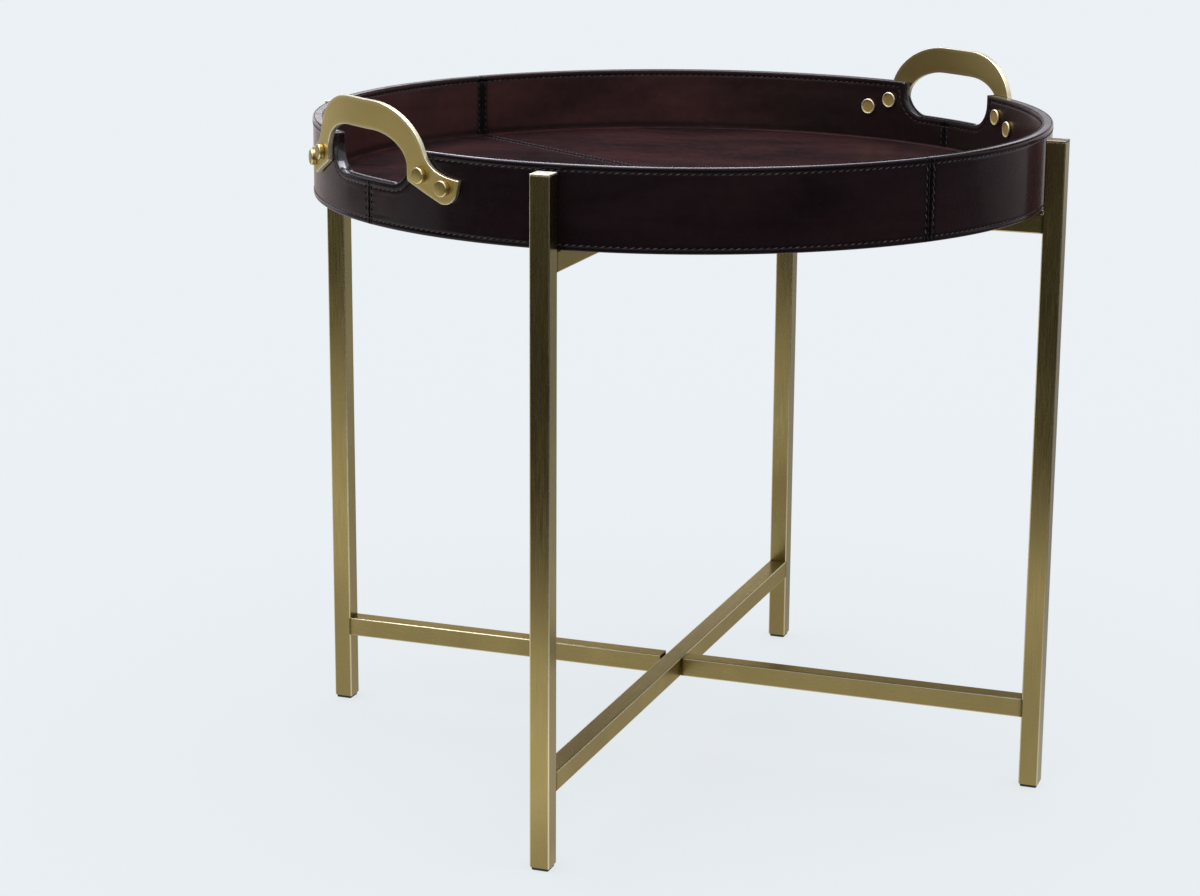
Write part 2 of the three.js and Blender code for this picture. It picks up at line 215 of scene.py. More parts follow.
@dataclass
class Shell:
    """A mesh in the making: points in millimetres, faces of any size, and one rub value per point, for wear,
    pressing, painted highlight and painted shade.
    """

    points: np.ndarray
    faces: list[tuple[int, ...]]
    rub_and_painted_light: np.ndarray

    @staticmethod
    def loft(sections: np.ndarray, rub_and_painted_light: np.ndarray, ring: bool = False) -> "Shell":
        """Joins closed sections one after another, and closes both ends unless the sections form a ring.

        Args:
            sections: Points as (sections, points round a section, 3).
            rub_and_painted_light: A value per point, in a shape that spreads to (sections, points round a section).
            ring: Whether the last section is joined to the first.

        Returns:
            The closed shell, with its faces pointing outwards.
        """
        rows, columns, _ = sections.shape
        faces = [tuple(face) for face in quad_grid(rows, columns, ring, True).tolist()]
        if not ring:
            faces.append(tuple(range(columns - 1, -1, -1)))
            faces.append(tuple(range((rows - 1) * columns, rows * columns)))
        values = np.broadcast_to(rub_and_painted_light, (rows, columns)).reshape(-1)
        return Shell(sections.reshape(-1, 3), faces, values).outwards()

    @staticmethod
    def capsules(rings: np.ndarray, first: np.ndarray, last: np.ndarray) -> "Shell":
        """Closes many short tubes at both ends with a point.

        Args:
            rings: Points as (tubes, rings, points round a ring, 3).
            first: The end points before the first rings, as (tubes, 3).
            last: The end points after the last rings, as (tubes, 3).

        Returns:
            One shell that holds all the tubes.
        """
        count, rows, columns, _ = rings.shape
        points = np.concatenate([rings.reshape(count, -1, 3), first[:, None], last[:, None]], 1)
        points = points.reshape(-1, 3)
        here = np.arange(columns)
        beside, start, end = (here + 1) % columns, rows * columns, (rows - 1) * columns
        foot = np.stack([np.full(columns, start), beside, here], -1)
        head = np.stack([np.full(columns, start + 1), end + here, end + beside], -1)
        shift = (np.arange(count) * (start + 2))[:, None, None]
        quads = (quad_grid(rows, columns, False, True)[None] + shift).reshape(-1, 4).tolist()
        triangles = (np.concatenate([foot, head])[None] + shift).reshape(-1, 3).tolist()
        return Shell(points, [tuple(face) for face in quads + triangles], np.zeros(len(points))).outwards()

    @staticmethod
    def joined(shells: Sequence["Shell"]) -> "Shell":
        """Puts several shells into one.

        Args:
            shells: The shells to put together.

        Returns:
            A shell that holds all their points and faces.
        """
        faces, shift = [], 0
        for shell in shells:
            faces += [tuple(corner + shift for corner in face) for face in shell.faces]
            shift += len(shell.points)
        points = np.concatenate([shell.points for shell in shells])
        return Shell(points, faces, np.concatenate([shell.rub_and_painted_light for shell in shells]))

    def by_size(self) -> list[np.ndarray]:
        """Sorts the faces by their number of corners, as arrays of point numbers.

        Returns:
            An array of faces for each number of corners.
        """
        groups: dict[int, list[tuple[int, ...]]] = {}
        for face in self.faces:
            groups.setdefault(len(face), []).append(face)
        return [np.array(group) for group in groups.values()]

    def outwards(self) -> "Shell":
        """Turns all faces round if the enclosed volume, the sum of a.(b x c) / 6, comes out negative.

        Returns:
            This shell.
        """
        centred = self.points - self.points.mean(0)
        volume = 0.0
        for corners in self.by_size():
            for k in range(1, corners.shape[1] - 1):
                a, b, c = (centred[corners[:, i]] for i in (0, k, k + 1))
                volume += np.einsum("ij,ij->", a, np.cross(b, c))
        if volume < 0:
            self.faces = [face[::-1] for face in self.faces]
        return self

    def normals(self) -> np.ndarray:
        """Adds up the area vectors of the faces round each point, so that wide flat faces shade flat.

        Returns:
            A unit direction for each point.
        """
        total = np.zeros_like(self.points)
        for corners in self.by_size():
            start = self.points[corners[:, 0]]
            area = np.zeros_like(start)
            for k in range(1, corners.shape[1] - 1):
                area += np.cross(self.points[corners[:, k]] - start, self.points[corners[:, k + 1]] - start)
            for column in corners.T:
                np.add.at(total, column, area)
        length = np.linalg.norm(total, axis=1, keepdims=True)
        return np.where(length > 0, total / np.maximum(length, SHORTEST), UPWARDS)


def placed(name: str, data: bpy.types.ID) -> bpy.types.Object:
    """Puts a mesh, a lamp or a camera into the scene as a new object.

    Args:
        name: The object's name.
        data: What it shows.

    Returns:
        The object.
    """
    thing = bpy.data.objects.new(name, data)
    bpy.context.scene.collection.objects.link(thing)
    return thing


@dataclass
class Workshop:
    """Turns shells into objects of the scene and reports each of them."""

    made: list[str] = field(default_factory=list)

    def put(
        self,
        name: str,
        shell: Shell,
        body: Body,
        slot: Slot,
        material: bpy.types.Material,
        replaces: Sequence[str] = (),
    ) -> None:
        """Makes one piece of the table from a shell, at the origin, with its place in its mesh.

        Args:
            name: The piece's name.
            shell: Its mesh in millimetres.
            body: The body that it moves with.
            slot: The material slot that its finish belongs to; not used.
            material: Its finish.
            replaces: The CAD nodes that it stands for.
        """
        mesh = bpy.data.meshes.new(name)
        mesh.from_pydata((shell.points * MILLIMETRE).tolist(), [], shell.faces)
        rub_and_painted_light = mesh.attributes.new("rub_and_painted_light", "FLOAT", "POINT")
        rub_and_painted_light.data.foreach_set("value", shell.rub_and_painted_light.astype(np.float32))
        mesh.shade_smooth()
        mesh.normals_split_custom_set_from_vertices(shell.normals().tolist())
        mesh.materials.append(material)
        piece = placed(name, mesh)
        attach(piece, body.value)
        if replaces:
            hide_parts(*replaces)
        self.made.append(name)
        log.info("%s: %d faces on the %s", name, len(shell.faces), body.value)


# Finishes


class NodeSheet:
    """A material's node tree, with short ways to add and join its nodes."""

    def __init__(self, name: str) -> None:
        """Starts a material that has one Principled shader.

        Args:
            name: The material's name.
        """
        self.material = bpy.data.materials.new(name)
        self.material.use_nodes = True
        self.tree = self.material.node_tree
        self.shader = self.tree.nodes["Principled BSDF"]

    def add(self, kind: str, **settings: object) -> bpy.types.Node:
        """Adds a node and sets its properties by name.

        Args:
            kind: The node's type.
            settings: Properties of the node.

        Returns:
            The new node.
        """
        node = self.tree.nodes.new(kind)
        for key, value in settings.items():
            setattr(node, key, value)
        return node

    def join(self, start: Socket, end: Socket) -> None:
        """Joins an output to an input."""
        self.tree.links.new(start, end)

    def places(self, stretch: Triple = (1.0, 1.0, 1.0), shift: float = 0.0) -> Socket:
        """Gives the Object coordinates, scaled along each axis.

        Args:
            stretch: The scale along X, Y and Z.
            shift: How far the pattern is moved.

        Returns:
            The vector output.
        """
        mapping = self.add("ShaderNodeMapping")
        mapping.inputs["Scale"].default_value = stretch
        mapping.inputs["Location"].default_value = (shift, shift * 0.7, shift * 1.3)
        self.join(self.add("ShaderNodeTexCoord").outputs["Object"], mapping.inputs["Vector"])
        return mapping.outputs["Vector"]

    def noise(
        self,
        scale: float,
        detail: float,
        distortion: float = 0.0,
        stretch: Triple = (1.0, 1.0, 1.0),
        shift: float = 0.0,
    ) -> Socket:
        """Adds a noise pattern on the Object coordinates.

        Args:
            scale: Its waves per metre.
            detail: How many finer octaves it has.
            distortion: How far it is swirled.
            stretch: The coordinates' scale along X, Y and Z.
            shift: How far the pattern is moved.

        Returns:
            The output from 0 to 1.
        """
        node = self.add("ShaderNodeTexNoise")
        for name, value in (("Scale", scale), ("Detail", detail), ("Distortion", distortion)):
            node.inputs[name].default_value = value
        self.join(self.places(stretch, shift), node.inputs["Vector"])
        return node.outputs["Fac"]

    def spread(
        self, value: Socket, low: float, high: float, to_low: float = 0.0, to_high: float = 1.0
    ) -> Socket:
        """Carries a value from one range into another, held at both ends.

        Args:
            value: The value.
            low: The value that gives to_low.
            high: The value that gives to_high.
            to_low: The result at low.
            to_high: The result at high.

        Returns:
            The output.
        """
        node = self.add("ShaderNodeMapRange")
        for name, number in (("From Min", low), ("From Max", high), ("To Min", to_low), ("To Max", to_high)):
            node.inputs[name].default_value = number
        self.join(value, node.inputs["Value"])
        return node.outputs["Result"]

    def mix(self, share: Socket, first: Socket | Triple, second: Socket | Triple) -> Socket:
        """Mixes two colours.

        Args:
            share: How much of the second colour shows.
            first: A colour or an output.
            second: A colour or an output.

        Returns:
            The mixed colour.
        """
        node = self.add("ShaderNodeMix", data_type="RGBA")
        self.join(share, node.inputs["Factor"])
        for socket, colour in ((node.inputs[6], first), (node.inputs[7], second)):
            if isinstance(colour, Socket):
                self.join(colour, socket)
            else:
                socket.default_value = (*colour, 1.0)
        return node.outputs[2]

    def sum(self, first: Socket, second: Socket, share: float) -> Socket:
        """Adds a share of the second value to the first.

        Args:
            first: A value.
            second: Another value.
            share: What the second value is multiplied by.

        Returns:
            The sum.
        """
        node = self.add("ShaderNodeMath", operation="MULTIPLY_ADD")
        self.join(second, node.inputs[0])
        node.inputs[1].default_value = share
        self.join(first, node.inputs[2])
        return node.outputs[0]

    def rub_and_painted_light(self) -> Socket:
        """Gives the piece's rub value: handled edges, partly a painted highlight, and grime with painted
        shade on metal; pressed seams, and painted shade on the lining, on leather.
        """
        return self.add("ShaderNodeAttribute", attribute_name="rub_and_painted_light").outputs["Fac"]

    def paint(self, colour: Socket, roughness: Socket) -> None:
        """Gives the shader its colour and its roughness."""
        self.join(colour, self.shader.inputs["Base Color"])
        self.join(roughness, self.shader.inputs["Roughness"])

    def fix(self, values: dict[str, float | tuple[float, ...]]) -> None:
        """Sets the shader's inputs that are the same all over a piece."""
        for name, value in values.items():
            self.shader.inputs[name].default_value = value

    def relief(self, height: Socket, depth: float, strength: float) -> None:
        """Raises the surface's shading by a height from 0 to 1, worth so many metres.

        Args:
            height: The height.
            depth: What a height of 1 is worth.
            strength: How much of it shows.
        """
        node = self.add("ShaderNodeBump")
        node.inputs["Strength"].default_value = strength
        node.inputs["Distance"].default_value = depth
        self.join(height, node.inputs["Height"])
        self.join(node.outputs["Normal"], self.shader.inputs["Normal"])


@dataclass(frozen=True)
class BrushedBrass:
    """Antique brass under lacquer, brushed along one direction, with brighter edges that are partly polish
    and partly a painted highlight, and a dark colour for grime and painted shade.
    """

    name: str
    along: Along
    bright: Triple = (0.375, 0.3, 0.118)
    aged: Triple = (0.27, 0.212, 0.088)
    # The edge colour: polish, and paler also as a painted highlight on the rounded edges.
    edge: Triple = (0.8, 0.71, 0.46)
    # The dark colour: grime at joints, and painted shade at joints and inside the bores.
    dirt_and_shade: Triple = (0.035, 0.028, 0.014)
    grazing: Triple = (0.9, 0.9, 0.9)
    roughness: float = 0.29
    scratch: float = 2600.0
    brushing: float = 0.14
    drag: float = 0.012
    depth: float = 0.00002

    def material(self) -> bpy.types.Material:
        """Builds the finish: streaks along the brushing, slow clouds of patina, a polished edge that is
        partly a painted highlight, and grime with painted shade where the rub value is below zero.

        Returns:
            The material.
        """
        sheet = NodeSheet(self.name)
        stretch = tuple(self.drag if way is self.along else 1.0 for way in Along)
        streaks = sheet.noise(self.scratch, detail=3.0, stretch=stretch)
        clouds = sheet.noise(scale=13.0, detail=5.0, distortion=0.6, stretch=(1.0, 1.0, 0.6), shift=0.31)
        patina = sheet.sum(sheet.spread(clouds, 0.35, 0.7, to_high=0.7), streaks, self.brushing)
        body = sheet.mix(patina, self.bright, self.aged)
        # Edges turn to the edge colour: polish, partly a painted highlight.
        polished = sheet.mix(sheet.spread(sheet.rub_and_painted_light(), 0.0, 1.0), body, self.edge)
        # Negative values turn to the dark colour: grime, and painted shade at joints and in the bores.
        sheet.paint(
            sheet.mix(sheet.spread(sheet.rub_and_painted_light(), 0.0, -1.0, to_high=0.93), polished, self.dirt_and_shade),
            sheet.spread(streaks, 0.3, 0.72, self.roughness - 0.05, self.roughness + 0.08),
        )
        sheet.fix({"Metallic": 1.0, "Specular Tint": (*self.grazing, 1.0)})
        sheet.relief(streaks, self.depth, self.brushing)
        return sheet.material


@dataclass(frozen=True)
class Hide:
    """Smooth polished hide: dye in clouds and faint streaks, fine grain, darker where it is pressed and where
    a painted shade is laid on it.
    """

    name: str
    light: Triple
    dark: Triple
    # The pressed colour, also used for the lining's painted shade about the right handle.
    pressed: Triple
    stretch: Triple
    roughness: float
    gloss: float
    grain: float = 0.35
    shine: float = 0.3
    sheen: float = 0.0
    spread: tuple[float, float] = (0.34, 1.12)
    coat_roughness: float = 0.14
    coat_ior: float = 1.5
    bloom: Triple = (0.78, 0.6, 0.95)
    fleck: float = 0.28
    cells: float = 720.0
    depth: float = 0.00012

    def material(self) -> bpy.types.Material:
        """Builds the finish from three noises for the dye and a cell pattern for the grain.

        Returns:
            The material.
        """
        sheet = NodeSheet(self.name)
        wide = tuple(0.5 + 0.5 * min(share, 1.6) for share in self.stretch)
        slow = sheet.noise(scale=13.0, detail=6.0, distortion=0.5, stretch=wide)
        streaks = sheet.noise(scale=16.0, detail=6.0, distortion=0.4, stretch=self.stretch, shift=0.5)
        flecks = sheet.noise(scale=130.0, detail=5.0, shift=0.2)
        clouds = sheet.spread(slow, 0.32, 0.68, to_high=0.7)
        dye = sheet.sum(sheet.sum(clouds, streaks, share=0.55), flecks, self.fleck)
        body = sheet.mix(sheet.spread(dye, *self.spread), self.dark, self.light)
        wear = sheet.sum(flecks, streaks, share=0.8)
        # The pressed colour shows where the rub value is high: pressed seams, and the lining's painted shade.
        sheet.paint(
            sheet.mix(sheet.rub_and_painted_light(), body, self.pressed),
            sheet.spread(wear, 0.5, 1.3, self.roughness - 0.07, self.roughness + 0.1),
        )
        sheet.fix(
            {
                "Specular IOR Level": self.shine,
                "Coat Weight": self.gloss,
                "Coat Roughness": self.coat_roughness,
                "Coat IOR": self.coat_ior,
                "Sheen Weight": self.sheen,
                "Sheen Roughness": 0.3,
                "Sheen Tint": (*self.bloom, 1.0),
            }
        )
        cells = sheet.add("ShaderNodeTexVoronoi", feature="SMOOTH_F1")
        cells.inputs["Scale"].default_value = self.cells
        sheet.join(sheet.places(), cells.inputs["Vector"])
        creases = sheet.noise(scale=85.0, detail=6.0, distortion=1.2, shift=0.9)
        sheet.relief(sheet.sum(cells.outputs["Distance"], creases, share=2.2), self.depth, self.grain)
        return sheet.material


@dataclass(frozen=True)
class Thread:
    """Waxed sewing thread, its dye varying in clouds along the rows."""

    name: str = "waxed_thread"
    pale: Triple = (0.095, 0.066, 0.08)
    dark: Triple = (0.012, 0.007, 0.009)
    depth: float = 0.00008

    def material(self) -> bpy.types.Material:
        """Builds the finish: the dye varies along the rows, and a fine twist roughens each stitch.

        Returns:
            The material.
        """
        sheet = NodeSheet(self.name)
        clouds = sheet.noise(scale=170.0, detail=3.0)
        twist = sheet.noise(scale=2600.0, detail=2.0)
        tone = sheet.sum(sheet.spread(clouds, 0.35, 0.65, to_high=0.75), twist, share=0.3)
        sheet.paint(sheet.mix(tone, self.dark, self.pale), sheet.spread(twist, 0.3, 0.7, 0.4, 0.62))
        sheet.relief(twist, self.depth, strength=0.5)
        return sheet.material


@dataclass(frozen=True)
class MouldedPlastic:
    """Matt black plastic with a fine eroded texture."""

    name: str = "black_glide_plastic"
    colour: Triple = (0.008, 0.008, 0.008)
    worn: Triple = (0.024, 0.024, 0.024)
    depth: float = 0.00004

    def material(self) -> bpy.types.Material:
        """Builds the finish: scuffs that lighten it a little, and a fine grain.

        Returns:
            The material.
        """
        sheet = NodeSheet(self.name)
        scuffs = sheet.noise(scale=420.0, detail=5.0)
        sheet.paint(sheet.mix(scuffs, self.colour, self.worn), sheet.spread(scuffs, 0.3, 0.7, 0.5, 0.7))
        sheet.relief(scuffs, self.depth, strength=0.4)
        return sheet.material


@dataclass(frozen=True)
class Plywood:
    """Plain unfinished birch plywood, seen only where the leather is off."""

    name: str
    stretch: Triple
    pale: Triple = (0.34, 0.2, 0.09)
    dark: Triple = (0.16, 0.085, 0.035)
    depth: float = 0.0001

    def material(self) -> bpy.types.Material:
        """Builds the finish: long grain across one direction and short dark pores.

        Returns:
            The material.
        """
        sheet = NodeSheet(self.name)
        figure = sheet.noise(scale=60.0, detail=6.0, distortion=1.5, stretch=self.stretch)
        pores = sheet.noise(scale=700.0, detail=3.0, stretch=self.stretch, shift=0.4)
        tone = sheet.spread(sheet.sum(figure, pores, share=0.3), 0.4, 0.9)
        sheet.paint(sheet.mix(tone, self.pale, self.dark), sheet.spread(pores, 0.3, 0.7, 0.6, 0.8))
        sheet.relief(pores, self.depth, strength=0.4)
        return sheet.material


# The stand


def rounded_square(half: float, radius: float, steps: int) -> tuple[np.ndarray, np.ndarray]:
    """Draws a square with rounded corners.

    Each corner is an arc about (half - radius, half - radius), turned by quarter turns.

    Args:
        half: Half its width.
        radius: The corners' radius.
        steps: How many steps each corner has.

    Returns:
        The points as (count, 2), and a value per point that is 1 on the corners and 0 at their ends.
    """
    sweep = np.linspace(0.0, QUARTER, steps + 1)
    quarter = np.arange(4)[:, None] * QUARTER
    angle, middle = quarter + sweep, quarter + QUARTER / 2
    reach = (half - radius) * math.sqrt(2.0)
    x = reach * np.cos(middle) + radius * np.cos(angle)
    y = reach * np.sin(middle) + radius * np.sin(angle)
    # This value turns the corners to the paler edge colour: polish, and partly a painted highlight.
    worn = np.broadcast_to(np.sin(2.0 * sweep), angle.shape)
    return np.stack([x, y], -1).reshape(-1, 2), worn.reshape(-1)


@dataclass
class TubeStand:
    """The stand: four legs with caps and feet, and two crossed pairs of bars, all of one square tube."""

    workshop: Workshop
    width: float = 16.0
    wall: float = 1.2
    corner: float = 1.2
    bore_corner: float = 0.35
    corner_steps: int = 6
    edge_steps: int = 5
    reach: float = 310.0
    height: float = 535.0
    cap: float = 1.5
    cap_round: float = 0.42
    foot: float = 2.0
    foot_edge: float = 0.9
    foot_corner_fall: float = 0.5
    foot_inset_share: float = 0.75
    foot_break: float = 0.15
    foot_round: float = 1.5
    edge_break: float = 0.22
    lower_underside: float = 60.0
    upper_underside: float = 461.0
    lap: float = 0.3
    slit: float = 3.0
    plug_height: float = 12.0
    plug_core: float = 10.6
    plug_corner: float = 0.3
    plug_clearance: float = 0.3
    rib: float = 1.1
    ribs: int = 3
    mouth: float = 0.6
    mouth_rub: float = 0.5
    # How far grime and painted shade reach from a joint, and the extra sections near each end that carry
    # them.
    grime_and_shade_reach: float = 2.0
    grime_and_shade_steps: tuple[float, ...] = (1.0, 2.2, 4.0, 8.0)

    def sides(self) -> dict[str, tuple[float, float]]:
        """Where each leg stands, by its side's name."""
        r = self.reach
        return {"front": (0.0, -r), "right": (r, 0.0), "back": (0.0, r), "left": (-r, 0.0)}

    def laid(
        self, across: np.ndarray, place: np.ndarray, along: Along, offset: Sequence[float]
    ) -> np.ndarray:
        """Lays sections along an axis.

        Args:
            across: Points of the sections as (sections, points, 2): across and up, or X and Y on a leg.
            place: Where along the axis each section stands.
            along: The axis.
            offset: Where the section's middle lies.

        Returns:
            Points as (sections, points, 3).
        """
        length = np.broadcast_to(place[:, None], across.shape[:2])
        u, v = across[..., 0], across[..., 1]
        order = {Along.X: (length, u, v), Along.Y: (-u, length, v), Along.Z: (u, v, length)}[along]
        return np.stack(order, -1) + np.asarray(offset, float)

    def tube(
        self,
        low: float,
        high: float,
        along: Along,
        offset: Sequence[float],
        foot_round: float = 0.0,
        grimed_and_shaded: Sequence[float] = (),
    ) -> Shell:
        """Makes a length of tube, as sections out along its outside and back along its bore.

        Both ends are rounded off by a quarter round: at an angle a the outside is drawn in by
        r (1 - sin a), at r (1 - cos a) from the end.

        Args:
            low: Where it starts.
            high: Where it ends.
            along: The axis it runs along.
            offset: Where its middle line lies.
            foot_round: A wider rounding for its low end.
            grimed_and_shaded: The places where grime and a painted shade darken it.

        Returns:
            The tube as a ring of sections, so that both open ends have their thickness.
        """
        half = self.width / 2
        outline, worn = rounded_square(half, self.corner, self.corner_steps)
        inner, _ = rounded_square(half - self.wall, self.bore_corner, self.corner_steps)
        first = max(self.edge_break, foot_round)
        near, near_drawn = quarter_round(first, self.edge_steps)
        far, far_drawn = quarter_round(self.edge_break, self.edge_steps)
        flat = first + np.array(self.grime_and_shade_steps)
        places = np.concatenate([low + near, low + flat, high - flat[::-1], high - far[::-1]])
        drawn = np.concatenate([near_drawn, np.zeros(2 * len(flat)), far_drawn[::-1]])
        outside = (1.0 - drawn / half)[:, None, None] * outline[None]
        back = np.array([high, high - self.mouth, low + self.mouth, low])
        inside = np.broadcast_to(inner, (len(back), *inner.shape))
        # Grime and painted shade darken the outside near the joints.
        dirt_and_shade = sum((Press(place, self.grime_and_shade_reach).at(places) for place in grimed_and_shaded), np.zeros(len(places)))
        rub_and_painted_light = worn * (1.0 - dirt_and_shade[:, None]) - dirt_and_shade[:, None]
        # The bore is painted dark as shade; its mouths are paler as polish.
        bore_polish_and_shade = np.array([self.mouth_rub, -1.0, -1.0, self.mouth_rub])[:, None] + np.zeros(len(worn))
        sections = self.laid(np.concatenate([outside, inside]), np.concatenate([places, back]), along, offset)
        return Shell.loft(sections, np.concatenate([rub_and_painted_light, bore_polish_and_shade]), ring=True)

    def channel(self, low: float, high: float, along: Along, offset: Sequence[float], open_up: bool) -> Shell:
        """Makes the half of a tube that is left in a lap joint, as a channel with flat upper edges.

        Its section runs round the outside of the lower half and back round the bore.

        Args:
            low: Where it starts.
            high: Where it ends.
            along: The axis it runs along.
            offset: Where the whole tube's middle line lies.
            open_up: Whether its open side is up.

        Returns:
            The channel.
        """
        lines = []
        for half, radius in ((self.width / 2, self.corner), (self.width / 2 - self.wall, self.bore_corner)):
            outline, worn = rounded_square(half, radius, self.corner_steps)
            lower = slice(len(outline) // 2, None)
            lines.append(np.concatenate([[[-half, 0.0]], outline[lower], [[half, 0.0]]]))
        section = np.concatenate([lines[0], lines[1][::-1]]) * (1.0, 1.0 if open_up else -1.0)
        # The channel's bore is painted dark as shade.
        rub_and_painted_light = np.concatenate([[0.0], worn[lower], [0.0], -np.ones(len(lines[1]))])
        places = np.array([low, low + self.edge_break, high - self.edge_break, high])
        across = np.broadcast_to(section, (len(places), *section.shape))
        return Shell.loft(self.laid(across, places, along, offset), rub_and_painted_light)

    def bar(self, along: Along, underside: float) -> Shell:
        """Makes a bar between two legs: two lengths of tube, with the channel of the lap joint between.

        Args:
            along: The axis it runs along.
            underside: The height of its underside.

        Returns:
            The bar, whose ends reach past the rounded edges of the legs, as the ground welds do.
        """
        end = self.reach - self.width / 2 + self.corner
        offset = (0.0, 0.0, underside + self.width / 2)
        high = self.width / 2 + self.lap
        slotted = along is Along.X
        low = -high - (self.slit - self.lap if slotted else 0.0)
        return Shell.joined(
            [
                # Grime and painted shade at the joints with the legs and, on the slotted bar, beside the lap.
                self.tube(-end, low, along, offset, grimed_and_shaded=(-end,)),
                self.channel(low, high, along, offset, slotted),
                self.tube(high, end, along, offset, grimed_and_shaded=(high, end) if slotted else (end,)),
            ]
        )

    def stack(self, steps: Sequence[Triple], place: tuple[float, float]) -> Shell:
        """Piles rounded squares on each other.

        Args:
            steps: Each square's height, half width and corner radius, from the bottom up.
            place: Where their middle stands.

        Returns:
            The closed pile.
        """
        outlines = [rounded_square(half, radius, self.corner_steps) for _, half, radius in steps]
        across, worn = (np.stack(parts) for parts in zip(*outlines))
        heights = np.array([height for height, _, _ in steps])
        return Shell.loft(self.laid(across, heights, Along.Z, (*place, 0.0)), worn)

    def cap_steps(self) -> list[Triple]:
        """The squares of a leg's cap, with its lower edge broken and its upper one rounded.

        Returns:
            Each square's height, half width and corner radius, from the bottom up.
        """
        half, low, broken = self.width / 2, self.height - self.cap, self.edge_break
        rises = (broken - quarter_round(broken, self.edge_steps)[1])[1::2]
        steps = [(low, half - broken, self.corner - broken)]
        steps += [(low + rise, half - broken + rise, self.corner) for rise in rises]
        for inward, down in zip(*quarter_round(self.cap_round, self.edge_steps)):
            steps.append((self.height - down, half - inward, self.corner - inward))
        return steps

    def foot_steps(self) -> list[Triple]:
        """The squares of a foot: a plate with a rounded underside, then the plug with its ribs.

        Returns:
            Each square's height, half width and corner radius, from the bottom up.
        """
        half, broken = self.width / 2 - self.foot_inset_share * self.foot_round, self.foot_break
        steps = []
        for rise, inward in zip(*quarter_round(self.foot_edge, self.edge_steps)):
            steps.append((rise, half - inward, self.corner - self.foot_corner_fall * inward / self.foot_edge))
        steps += [(self.foot - broken, half, self.corner), (self.foot, half - broken, self.corner - broken)]
        core, out = self.plug_core / 2, half - self.wall - self.plug_clearance
        rounds = [(self.foot, core)]
        for i in range(self.ribs):
            middle = self.foot + self.plug_height / self.ribs * (i + 0.5)
            low, high = middle - self.rib / 2, middle + self.rib / 2
            rounds += [(low, core), (low, out), (high, out), (high, core)]
        rounds.append((self.foot + self.plug_height, core))
        return steps + [(height, half_width, self.plug_corner) for height, half_width in rounds]

    def build(self) -> None:
        """Builds the legs, caps, feet and bars, and dresses them."""
        brass = {}
        for along, grazing, roughness, brushing in (
            (Along.X, (0.84, 0.74, 0.56), 0.29, 0.14),
            (Along.Y, (0.88, 0.82, 0.69), 0.32, 0.14),
            (Along.Z, (0.9, 0.9, 0.9), 0.24, 0.09),
        ):
            name = f"stand_brass_along_{along.name.lower()}"
            finish = BrushedBrass(name, along, grazing=grazing, roughness=roughness, brushing=brushing)
            brass[along] = finish.material()
        plastic = MouldedPlastic().material()
        # The caps' ground finish comes as a lit copy, this one, and a shaded copy: painted light.
        ground = BrushedBrass(
            name="ground_brass",
            along=Along.X,
            bright=(0.7, 0.64, 0.51),
            aged=(0.58, 0.51, 0.38),
            edge=(0.88, 0.84, 0.72),
            roughness=0.5,
        ).material()
        # The shaded copy of the caps' ground finish: painted shade.
        shaded_ground = BrushedBrass(
            name="shaded_ground_brass",
            along=Along.X,
            bright=(0.3, 0.265, 0.2),
            aged=(0.2, 0.175, 0.13),
            edge=(0.62, 0.56, 0.43),
            roughness=0.42,
        ).material()
        # Lit copy on the front and left caps, shaded copy on the right and back caps: painted light.
        tops = {"front": ground, "left": ground, "right": shaded_ground, "back": shaded_ground}
        slot, put = Slot.STAND_BRASS, self.workshop.put
        for side, (x, y) in self.sides().items():
            leg = self.tube(self.foot, self.height - self.cap, Along.Z, (x, y, 0.0), self.foot_round)
            put(f"stand_leg_{side}", leg, Body.STAND, slot, brass[Along.Z], [f"leg_{side}"])
            cap = self.stack(self.cap_steps(), (x, y))
            put(f"stand_cap_{side}", cap, Body.STAND, slot, tops[side], [f"leg_cap_{side}"])
            foot = self.stack(self.foot_steps(), (x, y))
            put(f"stand_foot_{side}", foot, Body.STAND, Slot.GLIDE, plastic, [f"glide_{side}"])
        for level, underside in (("lower", self.lower_underside), ("upper", self.upper_underside)):
            for along, way in ((Along.Y, "front_back"), (Along.X, "left_right")):
                node = f"{level}_bar_{way}"
                put(f"stand_{node}", self.bar(along, underside), Body.STAND, slot, brass[along], [node])


# The tray


@dataclass(frozen=True)
class TrayPlan:
    """The sizes that the tray's pieces share."""

    radius: float = 300.0
    underside: float = 477.3
    rim: float = 540.3
    floor_low: float = 486.1
    floor_top: float = 487.6
    wall_inner: float = 298.55
    fold_outer: float = 298.3
    lining_outer: float = 292.5
    lining_inner: float = 291.2
    seam_angle: float = 56.5
    seam_gap: float = 0.3
    handle_angle: float = 55.5
    cutout_half: float = 55.0
    cutout_depth: float = 27.5
    cutout_corner: float = 20.0
    edging: float = 1.45
    edging_gap: float = 0.12
    stitch: float = 5.5
    top_row: float = 4.6
    bottom_row: float = 4.2
    seam_row: float = 3.4

    def handle_middles(self) -> dict[str, float]:
        """The angle of each handle's middle, in degrees from +X."""
        return {"right": self.handle_angle, "left": self.handle_angle + 180.0}

    def seam_reach(self) -> float:
        """How far a cut-out's seam stands from the handle's middle, along the wall."""
        return math.radians(self.seam_angle - self.handle_angle) * self.radius


